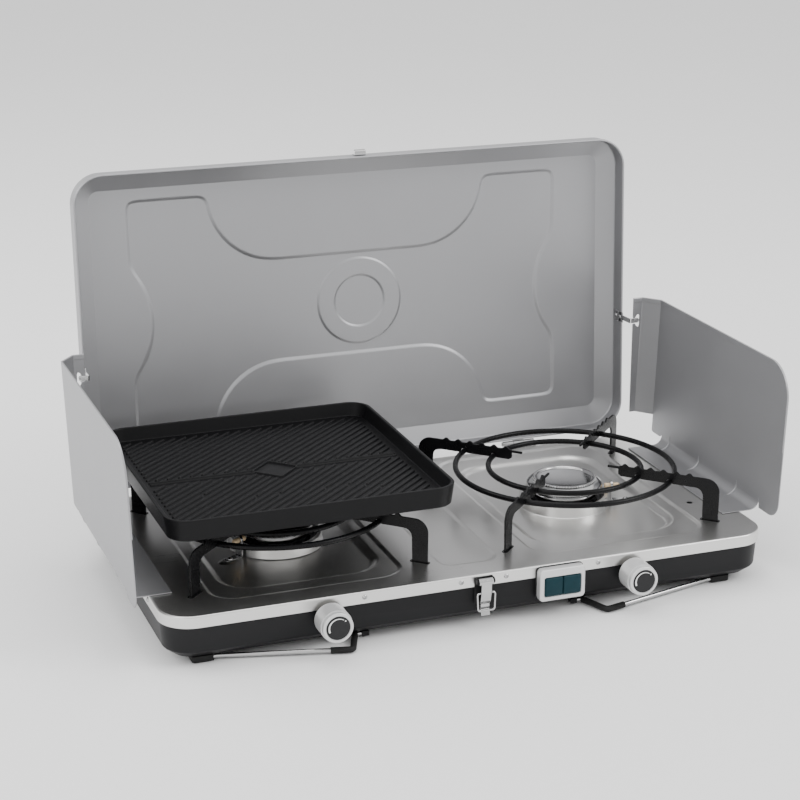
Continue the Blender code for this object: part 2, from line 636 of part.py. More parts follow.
# ---------------------------------------------------------------- lid
def build_lid():
    space = lid_matrix()
    depth_up = space @ Matrix.Rotation(-math.pi / 2, 4, "X")     # outline (x, -s), height = depth
    s_range = (-LID_TOP, -LID_BOTTOM)
    t = LID_SHEET
    levels = ((0, 0), (0, LID_WALL - 0.002), (0.0006, LID_WALL - 0.0006), (0.002, LID_WALL),
              (0.011, LID_WALL), (0.022, LID_DEPTH), (0.022 + t, LID_DEPTH - t), (0.011 + t, LID_WALL - t),
              (0.002 + t, LID_WALL - t), (0.0006 + t, LID_WALL - 0.0014), (t, LID_WALL - 0.0028), (t, 0))
    bm = bmesh.new()
    loops = [loop_at(bm, rounded_rect((-LID_HALF, LID_HALF), s_range, 0.030, 6, inset), depth, depth_up)
             for inset, depth in levels]
    outside, inside = loops[:6], loops[6:]
    loft(bm, inside + outside)
    add_object("lid_shell", bm, SILVER, LID_HINGE)

    top = LID_TOP + GAP
    outline = [(0.0120, top), (0.0120, top + 0.0010), (0.0045, top + 0.0010), (0.0045, top + 0.0045),
               (0.0070, top + 0.0050), (0.0070, top + 0.0062), (0.0033, top + 0.0060), (0.0033, top)]
    bm = bmesh.new()
    add_prism(bm, outline, -0.0058, 0.0058, space @ yz_plane(0))
    add_object("lid_strike", bm, CHROME, LID_HINGE)

    for name, side in SIDES:
        bm = bmesh.new()
        inside_x = LID_HALF - LID_SHEET - GAP
        strip = 0.001
        y0 = -0.0205
        outline = [(inside_x - strip, 0.018), (inside_x - strip, y0), (0.3008, y0), (0.3008, y0 + strip),
                   (inside_x, y0 + strip), (inside_x, 0.018)]
        outline = [(side * x, y) for x, y in outline]
        height = HOOK_Z - PLATE_TOP
        add_prism(bm, outline, height - 0.006, height + 0.006, space)
        hook = add_object(f"shield_hook_{name}", bm, CHROME, LID_HINGE)
        stud = bmesh.new()
        x = side * 0.2983
        add_turned(stud, ((0, y0 + 0.0005), (0.0018, y0 + 0.0005), (0.0018, y0 + 0.0070), (0, y0 + 0.0070)),
                   space @ along_y(x, 0, height), count=16)
        combine(hook, stud, "UNION", f"hook_stud_{name}")


def build_hinges():
    space = lid_matrix()
    local = space.inverted() @ Vector(LID_HINGE)
    knuckle = 0.0060
    half = 0.0180
    bore_radius = 0.0016
    for name, side in SIDES:
        x = side * HINGE_X
        bm = bmesh.new()
        add_box(bm, (x - half, x + half), (DEPTH + GAP, DEPTH + 0.0015), (0.028, 0.0518))
        leaf = add_object(f"hinge_base_leaf_{name}", bm, CHROME)
        outer = ((x - half, x - knuckle - GAP / 2), (x + knuckle + GAP / 2, x + half))
        webs = bmesh.new()
        barrels = bmesh.new()
        for x0, x1 in outer:
            add_box(webs, (x0, x1), (DEPTH + 0.0008, HINGE_Y), (0.0505, 0.0518))
            add_turned(barrels, ((0, 0), (BARREL_RADIUS, 0), (BARREL_RADIUS, x1 - x0), (0, x1 - x0)),
                       along_x(x0, HINGE_Y, HINGE_Z), count=20)
        combine(leaf, webs, "UNION", f"hinge_webs_{name}")
        combine(leaf, barrels, "UNION", f"hinge_barrels_{name}")
        combine(leaf, hinge_bore(x, half, bore_radius), "DIFFERENCE", f"hinge_bore_base_{name}")

        bm = bmesh.new()
        top = LID_BOTTOM - GAP
        add_box(bm, (x - half, x + half), (local.y + 0.0040, 0.022), (top - 0.0010, top), space)
        lid_leaf = add_object(f"hinge_lid_leaf_{name}", bm, CHROME, LID_HINGE)
        web = bmesh.new()
        x0, x1 = x - knuckle + GAP / 2, x + knuckle - GAP / 2
        add_box(web, (x0, x1), (local.y, local.y + 0.0050), (top - 0.0013, top - 0.0002), space)
        combine(lid_leaf, web, "UNION", f"hinge_web_{name}")
        barrel = bmesh.new()
        add_turned(barrel, ((0, 0), (BARREL_RADIUS, 0), (BARREL_RADIUS, x1 - x0), (0, x1 - x0)),
                   along_x(x0, HINGE_Y, HINGE_Z), count=20)
        combine(lid_leaf, barrel, "UNION", f"hinge_barrel_{name}")
        combine(lid_leaf, hinge_bore(x, half, bore_radius), "DIFFERENCE", f"hinge_bore_lid_{name}")

        bm = bmesh.new()
        reach = half + 0.001
        add_turned(bm, ((0, -reach), (0.0013, -reach), (0.0013, reach), (0, reach)),
                   along_x(x, HINGE_Y, HINGE_Z), count=20)
        add_object(f"hinge_pin_{name}", bm, CHROME, (x, HINGE_Y, HINGE_Z))


def hinge_bore(x, half, radius):
    bore = bmesh.new()
    reach = half + 0.004
    add_turned(bore, ((0, -reach), (radius, -reach), (radius, reach), (0, reach)),
               along_x(x, HINGE_Y, HINGE_Z), count=20)
    return bore


# ---------------------------------------------------------------- windshields
def shield_x(z):
    return SHIELD_FOOT_X + (SHIELD_TOP_X - SHIELD_FOOT_X) * (z - SHIELD_LOW) / (SHIELD_TOP - SHIELD_LOW)


def build_shields():
    bend = 0.010
    flange_z = PLATE_TOP + GAP + SHIELD_SHEET / 2
    bend_z = flange_z + bend
    gap_z = SHIELD_PANEL_LOW
    tab_z = 0.058                # lower edge of the wall behind the flange
    front = SHIELD_Y[0]
    low_arc = [(front + 0.016 * (1 - math.sin(a)), SHIELD_LOW + 0.016 * (1 - math.cos(a)))
               for a in (math.pi / 2 * k / 4 for k in range(5))]
    top_arc = [(front + 0.034 * (1 - math.cos(a)), SHIELD_TOP - 0.034 * (1 - math.sin(a)))
               for a in (math.pi / 2 * k / 6 for k in range(7))]
    for name, side in SIDES:
        bm = bmesh.new()

        def vertex(x, y, z):
            return bm.verts.new((side * x, y, z))

        # main wall, a flat sheet that leans outwards
        rear = SHIELD_Y[1]
        outline = low_arc + top_arc + [(rear, SHIELD_TOP), (rear, gap_z), (rear, tab_z + 0.0025),
                                       (rear - 0.0035, tab_z), (FLANGE_Y[1] + 0.004, tab_z),
                                       (FLANGE_Y[1], bend_z), (FLANGE_Y[0], bend_z),
                                       (FLANGE_Y[0] - 0.004, SHIELD_LOW)]
        wall = [vertex(shield_x(z) - SHIELD_SHEET / 2, y, z) for y, z in outline]
        bm.faces.new(wall)
        rear_top, rear_low = wall[-8], wall[-7]
        bend_rear, bend_front = wall[-3], wall[-2]

        # bend and base flange
        previous = (bend_rear, bend_front)
        wall_x = shield_x(bend_z) - SHIELD_SHEET / 2
        rows = [(wall_x - bend * (1 - math.cos(a)), bend_z - bend * math.sin(a))
                for a in (math.pi / 2 * k / 4 for k in range(1, 5))]
        for x, z in rows + [(FLANGE_X, flange_z)]:
            row = (vertex(x, FLANGE_Y[1], z), vertex(x, FLANGE_Y[0], z))
            bm.faces.new((previous[0], previous[1], row[1], row[0]))
            previous = row

        # rear chamfer panel and return panel with the keyhole
        shift = 0.0145
        edge_low = vertex(shield_x(gap_z) - shift, RETURN_Y, gap_z)
        edge_top = vertex(shield_x(SHIELD_TOP) - shift, RETURN_Y, SHIELD_TOP)
        bm.faces.new((rear_low, rear_top, edge_top, edge_low))
        keyhole = ((RETURN_X, -0.0036), (RETURN_X + 0.0030, -0.0036), (RETURN_X + 0.0072, -0.0075),
                   (RETURN_X + 0.0072, 0.0075), (RETURN_X + 0.0030, 0.0036), (RETURN_X, 0.0036))
        inner = [vertex(RETURN_X, RETURN_Y, gap_z)]
        inner += [vertex(x, RETURN_Y, HOOK_Z + dz) for x, dz in keyhole]
        inner += [vertex(RETURN_X, RETURN_Y, SHIELD_TOP)]
        bm.faces.new([edge_low] + inner + [edge_top])

        shield = add_object(f"windshield_{name}", bm, SILVER)
        sheet = shield.modifiers.new("sheet", "SOLIDIFY")
        sheet.thickness = SHIELD_SHEET
        sheet.offset = 0
        sheet.use_even_offset = True


# ---------------------------------------------------------------- pan supports and griddle
def arm_outline():
    """Arm seen from the side: (distance from the burner's centre, height)."""
    inner = 0.056
    outer = ARM_FOOT + ARM_LEG_WIDTH / 2
    leg_inner = ARM_FOOT - ARM_LEG_WIDTH / 2
    points = [(inner, ARM_BOTTOM + 0.002), (inner, ARM_TOP - 0.003), (inner - 0.011, ARM_TOP - 0.003),
              (inner - 0.011, ARM_TOP - 0.0008), (inner, ARM_TOP - 0.0008)]
    pitch = 0.0130
    for k in range(6):
        centre = inner + 0.0065 + pitch * k
        points += [(centre - 0.0042, ARM_TOP), (centre - 0.0030, SUPPORT_TOP - 0.0006),
                   (centre - 0.0016, SUPPORT_TOP), (centre + 0.0016, SUPPORT_TOP),
                   (centre + 0.0030, SUPPORT_TOP - 0.0006), (centre + 0.0042, ARM_TOP)]
    bend = 0.013
    points += [(outer - bend * (1 - math.sin(a)), ARM_TOP - bend * (1 - math.cos(a)))
               for a in (math.pi / 2 * k / 6 for k in range(7))]
    points += [(outer - 0.0005, ARM_LEG_END), (leg_inner + 0.0005, ARM_LEG_END)]
    inside = 0.008
    points += [(leg_inner - inside * (1 - math.cos(a)), ARM_BOTTOM - inside * (1 - math.sin(a)))
               for a in (math.pi / 2 * k / 5 for k in range(6))]
    notch = RING_WIRE + GAP
    for radius in (RING_RADII["outer"], RING_RADII["inner"]):
        points.append((radius + notch, ARM_BOTTOM))
        points += [(radius + notch * math.cos(a), RING_Z + notch * math.sin(a))
                   for a in (math.pi * k / 8 for k in range(9))]
        points.append((radius - notch, ARM_BOTTOM))
    points.append((inner + 0.003, ARM_BOTTOM))
    return points


def build_supports():
    upright = Matrix(((1, 0, 0, 0), (0, 0, -1, 0), (0, 1, 0, 0), (0, 0, 0, 1)))
    corners = {"rear_right": 45, "rear_left": 135, "front_left": 225, "front_right": 315}
    for name, side in SIDES:
        centre = Vector((side * BURNER_X, BURNER_Y, 0))
        for ring, radius in RING_RADII.items():
            bm = bmesh.new()
            count = 48
            loops = []
            for k in range(count):
                a = 2 * math.pi * k / count
                out = Vector((math.cos(a), math.sin(a), 0))
                loops.append([bm.verts.new(centre + out * (radius + RING_WIRE * math.cos(t))
                                           + Vector((0, 0, RING_Z + RING_WIRE * math.sin(t))))
                              for t in (2 * math.pi * j / 8 for j in range(8))])
            loft(bm, loops, closed=True)
            add_object(f"support_ring_{ring}_{name}", bm, ENAMEL, centre)
        for corner, angle in corners.items():
            bm = bmesh.new()
            turn = Matrix.Translation(centre) @ Matrix.Rotation(math.radians(angle), 4, "Z") @ upright
            add_prism(bm, arm_outline(), -ARM_THICK / 2, ARM_THICK / 2, turn)
            add_object(f"support_arm_{corner}_{name}", bm, ENAMEL, centre)


def build_griddle():
    bm = bmesh.new()
    levels = ((0.008, GRIDDLE_UNDER), (0.006, GRIDDLE_SKIRT), (0.0035, GRIDDLE_SKIRT), (0.0020, 0.1055),
              (0, GRIDDLE_RIM - 0.0012), (0.0010, GRIDDLE_RIM), (0.0040, GRIDDLE_RIM),
              (0.0050, GRIDDLE_RIM - 0.0010), (0.0085, GRIDDLE_FLOOR + 0.0015), (0.0105, GRIDDLE_FLOOR))
    add_tray(bm, GRIDDLE_X, GRIDDLE_Y, 0.022, levels, steps=6)
    centre = (sum(GRIDDLE_X) / 2, sum(GRIDDLE_Y) / 2, 0)
    griddle = add_object("griddle", bm, CAST, centre)
    pads = bmesh.new()
    for angle in (45, 135, 225, 315):
        turn = (Matrix.Translation((-BURNER_X, BURNER_Y, 0)) @ Matrix.Rotation(math.radians(angle), 4, "Z"))
        add_box(pads, (0.086, 0.126), (-0.005, 0.005), (SUPPORT_TOP + GAP, GRIDDLE_UNDER + 0.002), turn)
    combine(griddle, pads, "UNION", "griddle_pads")


build_hob_plate()
build_base_pan()
build_feet()
build_wire_legs()
build_burners()
build_gas_train()
build_knobs()
build_igniter()
build_latch()
build_lid()
build_hinges()
build_shields()
build_supports()
build_griddle()
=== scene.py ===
"""Looks of the two-burner camping stove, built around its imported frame.

"Stove space" has x = 0 in the middle, y = 0 at the hob plate's front edge and z = 0 on
the table. Pieces are modelled there in metres and moved to the frame's place by piece().
"""
import json
import math

import bmesh
import bpy
from mathutils import Matrix, Vector
from mathutils.geometry import delaunay_2d_cdt


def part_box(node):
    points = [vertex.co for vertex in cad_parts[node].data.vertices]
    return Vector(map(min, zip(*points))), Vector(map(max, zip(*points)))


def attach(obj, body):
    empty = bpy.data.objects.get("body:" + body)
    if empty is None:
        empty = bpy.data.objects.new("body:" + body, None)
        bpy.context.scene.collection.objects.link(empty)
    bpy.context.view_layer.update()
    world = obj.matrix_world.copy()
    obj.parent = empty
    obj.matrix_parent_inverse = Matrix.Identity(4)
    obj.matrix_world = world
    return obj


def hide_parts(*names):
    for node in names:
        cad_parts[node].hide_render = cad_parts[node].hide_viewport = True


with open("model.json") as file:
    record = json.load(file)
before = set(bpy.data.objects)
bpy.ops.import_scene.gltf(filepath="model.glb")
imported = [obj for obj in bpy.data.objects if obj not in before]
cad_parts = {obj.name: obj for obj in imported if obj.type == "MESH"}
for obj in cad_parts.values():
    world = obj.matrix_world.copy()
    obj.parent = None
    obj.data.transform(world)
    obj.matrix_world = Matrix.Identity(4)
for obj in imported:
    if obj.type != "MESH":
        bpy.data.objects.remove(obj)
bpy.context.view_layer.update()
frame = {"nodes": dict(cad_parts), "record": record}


# ---------------------------------------------------------------- sizes read from the frame
def stove_box(node):
    """Lowest and highest corner of a CAD node in stove space."""
    low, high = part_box(node)
    shift = Vector((0, FRONT_Y, 0))
    return low - shift, high - shift


def middle_of(node):
    """Centre of a CAD node's box in stove space."""
    low, high = stove_box(node)
    return (low + high) / 2


FRONT_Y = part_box("hob_plate")[0].y
PLATE_LOW, PLATE_HIGH = stove_box("hob_plate")
SIDES = (("left", -1), ("right", 1))
QUARTER = math.pi / 2
FRONT_UP = Matrix.Rotation(QUARTER, 4, "X")      # turns heights into distances in front of the hob

LIP_HEIGHT = 0.011
PLATE_TOP = PLATE_LOW.z + LIP_HEIGHT
PLATE_HALF = PLATE_HIGH.x
DEPTH = PLATE_HIGH.y
PLATE_RADIUS = 0.030
BURNER_X, BURNER_Y, _ = middle_of("burner_head_right")
ARM_ANGLES = {"rear_right": 45, "rear_left": 135, "front_left": 225, "front_right": 315}
COLLAR_TOP = PLATE_HIGH.z
COLLAR_RADIUS = 0.044
MIDDLE_PANEL = ((-0.028, 0.028), (0.030, 0.288), 0.014)      # x range, y range, corner radius
MIDDLE_DEPTH = 0.0012
BASIN_X, BASIN_Y, BASIN_RADIUS, BASIN_DEPTH = (0.064, 0.243), (0.027, 0.292), 0.024, 0.0015
WELL_X, WELL_Y, WELL_RADIUS, WELL_DEPTH = (0.078, 0.226), (0.050, 0.268), 0.030, 0.0040
WELL_FLOOR = PLATE_TOP - BASIN_DEPTH - WELL_DEPTH
BASIN_EDGE, WELL_EDGE = 0.005, 0.009                         # widths of the soft steps
SLOT_X, SLOT_HALF = (0.1414, 0.1586), 0.0017                 # from the burner's centre; half width
GAP = 0.0003

LID_LEAN = math.radians(3.0)
LID_Y = 0.3108
LID_HALF = stove_box("lid_shell")[1].x
LID_BOTTOM = 0.0065
LID_TOP = 0.3215
LID_DEPTH = 0.0307
LID_RADIUS = 0.030
SHEET = 0.0008


# ---------------------------------------------------------------- modelling helpers
def rounded_rect(x_range, y_range, radius, steps=12, inset=0.0):
    """Points of a rounded rectangle, counter-clockwise, the same count for any inset."""
    x0, x1 = x_range[0] + inset, x_range[1] - inset
    y0, y1 = y_range[0] + inset, y_range[1] - inset
    r = max(radius - inset, 0.0012)
    corners = ((x1 - r, y0 + r, -90), (x1 - r, y1 - r, 0), (x0 + r, y1 - r, 90), (x0 + r, y0 + r, 180))
    points = []
    for cx, cy, start in corners:
        points += arc(cx, cy, r, r, [math.radians(start + a) for a in sweep(90, steps)])
    return points


def sweep(turn, steps):
    """Evenly spaced values from 0 to turn."""
    return [turn * k / steps for k in range(steps + 1)]


def arc(cx, cy, rx, ry, angles):
    """Points of an arc; a negative radius mirrors it."""
    return [(cx + rx * math.cos(a), cy + ry * math.sin(a)) for a in angles]


def circle(cx, cy, radius, count):
    return arc(cx, cy, radius, radius, [a - QUARTER for a in sweep(2 * math.pi, count)[:-1]])


def loop_at(bm, outline, height, matrix=Matrix()):
    return [bm.verts.new(matrix @ Vector((x, y, height))) for x, y in outline]


def bridge(bm, first, second):
    count = len(first)
    for k in range(count):
        n = (k + 1) % count
        bm.faces.new((first[k], first[n], second[n], second[k]))


def loft(bm, loops, closed=False, capped=True):
    """Skin a row of loops; capped at both ends, or joined into a ring."""
    for first, second in zip(loops, loops[1:]):
        bridge(bm, first, second)
    if closed:
        bridge(bm, loops[-1], loops[0])
    elif capped:
        bm.faces.new(loops[0])
        bm.faces.new(loops[-1])


def fill_between(bm, rims, matrix=Matrix()):
    """Fill the flat region bounded by the given loops of the matrix's XY plane."""
    flat = matrix.inverted()
    verts = [vert for rim in rims for vert in rim]
    edges = []
    for rim in rims:
        start = len(edges)
        edges += [(start + k, start + (k + 1) % len(rim)) for k in range(len(rim))]
    points = [(flat @ vert.co).to_2d() for vert in verts]
    filled = delaunay_2d_cdt(points, edges, [], 0, 1e-9)
    sides = [(points[a], points[b]) for a, b in edges]
    for face in filled[2]:
        if encloses(sides, sum((filled[0][k] for k in face), Vector((0, 0))) / 3):
            bm.faces.new([verts[filled[3][k][0]] for k in face])


def encloses(sides, spot):
    """Whether a point lies inside an outline, and outside the outlines within it."""
    crossings = 0
    for a, b in sides:
        if (a.y > spot.y) != (b.y > spot.y):
            crossings += spot.x < a.x + (b.x - a.x) * (spot.y - a.y) / (b.y - a.y)
    return crossings % 2 == 1


def add_tray(bm, x_range, y_range, radius, levels, matrix=Matrix(), steps=12):
    """Closed tray from (inset, height) levels that run down one side and up the other."""
    loft(bm, [loop_at(bm, rounded_rect(x_range, y_range, radius, steps, inset), height, matrix)
              for inset, height in levels])


def add_box(bm, x_range, y_range, z_range, matrix=Matrix()):
    corners = [(x_range[0], y_range[0]), (x_range[1], y_range[0]),
               (x_range[1], y_range[1]), (x_range[0], y_range[1])]
    loft(bm, [loop_at(bm, corners, z, matrix) for z in z_range])


def add_prism(bm, outline, low, high, matrix=Matrix()):
    loft(bm, [loop_at(bm, outline, low, matrix), loop_at(bm, outline, high, matrix)])


def add_turned(bm, profile, matrix=Matrix(), count=64, closed=False, ports=0, port_rows=(), port_depth=0):
    """Turn a profile of (radius, height) about the matrix's Z axis, with notches in some rows."""
    rings = []
    for row, (radius, height) in enumerate(profile):
        if radius < 1e-9:
            rings.append(bm.verts.new(matrix @ Vector((0, 0, height))))
            continue
        outline = circle(0, 0, radius, count)
        if row in port_rows:
            scale = 1 - port_depth / radius
            outline = [(x * scale, y * scale) if k % (count // ports) in (1, 2, 3) else (x, y)
                       for k, (x, y) in enumerate(outline)]
        rings.append(loop_at(bm, outline, height, matrix))
    pairs = list(zip(rings, rings[1:]))
    if closed:
        pairs.append((rings[-1], rings[0]))
    for first, second in pairs:
        if isinstance(first, list) and isinstance(second, list):
            bridge(bm, first, second)
        elif isinstance(first, list) or isinstance(second, list):
            pole, ring = (second, first) if isinstance(first, list) else (first, second)
            for k in range(count):
                bm.faces.new((pole, ring[k], ring[(k + 1) % count]))


def along_y(x, y, z):
    """Matrix whose Z axis points along +Y from the given point."""
    return Matrix.Translation((x, y, z)) @ Matrix.Rotation(-QUARTER, 4, "X")


def along_x(x, y, z):
    """Matrix whose Z axis points along +X from the given point."""
    return Matrix.Translation((x, y, z)) @ Matrix.Rotation(QUARTER, 4, "Y")


def yz_plane(x):
    """Matrix for outlines given as (y, z), extruded along X from the given x."""
    return Matrix(((0, 0, 1, x), (1, 0, 0, 0), (0, 1, 0, 0), (0, 0, 0, 1)))


def rounded_path(corners, radius, steps=8):
    """Replace each inner corner of a route by an arc."""
    corners = [Vector(c) for c in corners]
    path = [corners[0]]
    for before, corner, after in zip(corners, corners[1:], corners[2:]):
        a = (before - corner).normalized()
        b = (after - corner).normalized()
        half = a.angle(b) / 2
        if half > math.radians(89):
            path.append(corner)
            continue
        centre = corner + (a + b).normalized() * (radius / math.sin(half))
        start = corner + a * (radius / math.tan(half)) - centre
        end = corner + b * (radius / math.tan(half)) - centre
        turn = start.angle(end)
        path += [centre + (start * math.sin(turn - part) + end * math.sin(part)) / math.sin(turn)
                 for part in sweep(turn, steps)]
    path.append(corners[-1])
    return path


def rounded_profile(corners, radius, steps=5):
    """Profile of pairs with its inner corners rounded."""
    return [(p.x, p.y) for p in rounded_path([(a, b, 0) for a, b in corners], radius, steps)]


def add_wire(bm, path, radius, count=16, bore=0.0):
    """Round wire along a path, or a sleeve when a bore is given; radius may be a list."""
    side = None
    frames = []
    for k, point in enumerate(path):
        ahead = path[min(k + 1, len(path) - 1)] - point
        behind = point - path[max(k - 1, 0)]
        tangent = (ahead.normalized() + behind.normalized()).normalized()
        side = side or tangent.orthogonal()
        side = (side - tangent * side.dot(tangent)).normalized()
        frames.append((point, side.copy(), tangent.cross(side)))

    def rings(sizes):
        sizes = sizes if isinstance(sizes, list) else [sizes] * len(frames)
        return [[bm.verts.new(p + (a * math.cos(t) + b * math.sin(t)) * size)
                 for t in sweep(2 * math.pi, count)[:-1]] for (p, a, b), size in zip(frames, sizes)]

    outer = rings(radius)
    if bore:
        loft(bm, outer + rings(bore)[::-1], closed=True)
    else:
        loft(bm, outer)


def facing(centre, axis):
    """Matrix at a point whose Z axis is the given direction."""
    turn = Vector((0, 0, 1)).rotation_difference(Vector(axis))
    return Matrix.Translation(centre) @ turn.to_matrix().to_4x4()


def add_dome(bm, centre, axis, radius, height, count=16):
    """Low domed head of a rivet or a screw, on a surface whose outward direction is axis."""
    profile = [(0, -0.0004), (radius, -0.0004)] + arc(0, 0, radius, height, sweep(QUARTER, 5)[:-1])
    add_turned(bm, profile + [(0, height)], facing(centre, axis), count)


def lid_matrix():
    """Lid space: x across, y into the lid from its rim, z up along the lid."""
    return Matrix.Translation((0, LID_Y, PLATE_TOP)) @ Matrix.Rotation(-LID_LEAN, 4, "X")


def smooth_step(t):
    return t * t * (3 - 2 * t)


def new_object(name, bm, crease):
    bmesh.ops.remove_doubles(bm, verts=bm.verts, dist=1e-7)
    bmesh.ops.recalc_face_normals(bm, faces=bm.faces)
    mesh = bpy.data.meshes.new(name)
    bm.to_mesh(mesh)
    bm.free()
    mesh.shade_smooth()
    mesh.set_sharp_from_angle(angle=math.radians(crease))
    obj = bpy.data.objects.new(name, mesh)
    bpy.context.collection.objects.link(obj)
    return obj


def apply_modifiers(obj):
    """Turn an object's modifiers into its mesh."""
    shaped = bpy.data.meshes.new_from_object(obj.evaluated_get(bpy.context.evaluated_depsgraph_get()))
    obj.modifiers.clear()
    obj.data = shaped


def cut(obj, tool_mesh, crease=38):
    """Cut a bmesh out of an object and apply the result."""
    tool = new_object("tool", tool_mesh, 30)
    modifier = obj.modifiers.new("cut", "BOOLEAN")
    modifier.operation = "DIFFERENCE"
    modifier.solver = "EXACT"
    modifier.object = tool
    apply_modifiers(obj)
    obj.data.set_sharp_from_angle(angle=math.radians(crease))
    bpy.data.objects.remove(tool, do_unlink=True)


def thicken(obj, thickness, outward=None):
    """Give an open sheet its thickness: on both sides, or behind its widest face, which turns outward."""
    if outward and max(obj.data.polygons, key=lambda face: face.area).normal.dot(outward) < 0:
        obj.data.flip_normals()
    sheet = obj.modifiers.new("sheet", "SOLIDIFY")
    sheet.thickness = thickness
    sheet.offset = -1 if outward else 0
    sheet.use_even_offset = not outward
    apply_modifiers(obj)


def round_edges(obj, width, angle):
    edges = obj.modifiers.new("edges", "BEVEL")
    edges.width = width
    edges.segments = 2
    edges.limit_method = "ANGLE"
    edges.angle_limit = math.radians(angle)


def piece(name, shape, slot, body, stands_for=(), crease=38, bevel=0.0, look=None):
    """Give a bmesh or an unplaced object its material, its body and its finishing modifiers."""
    obj = shape if isinstance(shape, bpy.types.Object) else new_object(name, shape, crease)
    obj.name = name
    obj.data.name = name
    obj.data.transform(Matrix.Translation((0, FRONT_Y, 0)))
    obj.data.materials.clear()
    obj.data.materials.append(look or LOOKS[slot])
    if bevel:
        round_edges(obj, bevel, crease)
    shading = obj.modifiers.new("shading", "WEIGHTED_NORMAL")
    shading.keep_sharp = True
    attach(obj, body)
    if stands_for:
        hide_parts(*stands_for)
    return obj


def turned_piece(name, profile, matrix, slot, body, stands_for=(), count=64, closed=False, **finish):
    """Piece turned from one profile about the matrix's z axis."""
    bm = bmesh.new()
    add_turned(bm, profile, matrix, count, closed)
    piece(name, bm, slot, body, stands_for, **finish)


# ---------------------------------------------------------------- materials
def noise(tree, size, stretch=(1, 1, 1), offset=0.0):
    """Noise in object space whose features are about size metres."""
    place = tree.nodes.new("ShaderNodeTexCoord")
    mapping = tree.nodes.new("ShaderNodeMapping")
    mapping.inputs["Scale"].default_value = stretch
    mapping.inputs["Location"].default_value = (offset, offset, offset)
    texture = tree.nodes.new("ShaderNodeTexNoise")
    texture.inputs["Scale"].default_value = 1 / size
    texture.inputs["Detail"].default_value = 3.0
    tree.links.new(place.outputs["Object"], mapping.inputs["Vector"])
    tree.links.new(mapping.outputs["Vector"], texture.inputs["Vector"])
    return texture.outputs["Fac"]


def spread(tree, value, low, high, start=0.3, end=0.7):
    """Map a noise value to a range."""
    mapped = tree.nodes.new("ShaderNodeMapRange")
    for name, number in (("From Min", start), ("From Max", end), ("To Min", low), ("To Max", high)):
        mapped.inputs[name].default_value = number
    tree.links.new(value, mapped.inputs["Value"])
    return mapped.outputs["Result"]


def total(tree, first, second):
    """Sum of two values."""
    added = tree.nodes.new("ShaderNodeMath")
    added.operation = "ADD"
    tree.links.new(first, added.inputs[0])
    tree.links.new(second, added.inputs[1])
    return added.outputs["Value"]


def tint(tree, second, factor):
    """Colour mix that ends at the second colour, and its socket for the first."""
    mixed = tree.nodes.new("ShaderNodeMix")
    mixed.data_type = "RGBA"
    mixed.inputs["B"].default_value = (*(min(1.0, c) for c in second), 1)
    tree.links.new(factor, mixed.inputs["Factor"])
    return mixed.inputs["A"], mixed.outputs["Result"]


def surface(name, colour, metallic, roughness, mottle=0.06, mottle_size=0.06, grain_size=0.0006,
            grain=0.1, rough_spread=0.05, stretch=(1, 1, 1), specular=0.5, edge_highlight=0.0):
    """Material with broad colour variation, fine grain in its bump and uneven roughness; optionally a
    painted highlight that lightens its sharp convex edges.
    """
    made = bpy.data.materials.new(name)
    made.use_nodes = True
    tree = made.node_tree
    shader = tree.nodes["Principled BSDF"]
    shader.inputs["Metallic"].default_value = metallic
    shader.inputs["Specular IOR Level"].default_value = specular
    fine = noise(tree, grain_size, stretch)
    broad = noise(tree, mottle_size, offset=3.0)

    mottling = total(tree, spread(tree, broad, 0, 0.55), spread(tree, fine, 0, 0.45))
    dark, result = tint(tree, [c * (1 + mottle) for c in colour], mottling)
    dark.default_value = (*(c * (1 - mottle) for c in colour), 1)
    # Painted highlight: sharp convex edges, found by pointiness, are lightened to stand in for light
    # catching them.
    if edge_highlight:
        edge = tree.nodes.new("ShaderNodeNewGeometry").outputs["Pointiness"]
        unhighlighted, highlighted = tint(tree, [c * 3 + 0.02 for c in colour], spread(tree, edge, 0, edge_highlight, 0.53, 0.60))
        tree.links.new(result, unhighlighted)
        result = highlighted
    tree.links.new(result, shader.inputs["Base Color"])

    uneven = spread(tree, broad, roughness - rough_spread, roughness)
    tree.links.new(total(tree, uneven, spread(tree, fine, 0, rough_spread)), shader.inputs["Roughness"])

    bump = tree.nodes.new("ShaderNodeBump")
    bump.inputs["Strength"].default_value = grain
    bump.inputs["Distance"].default_value = grain_size
    tree.links.new(fine, bump.inputs["Height"])
    tree.links.new(bump.outputs["Normal"], shader.inputs["Normal"])
    return made


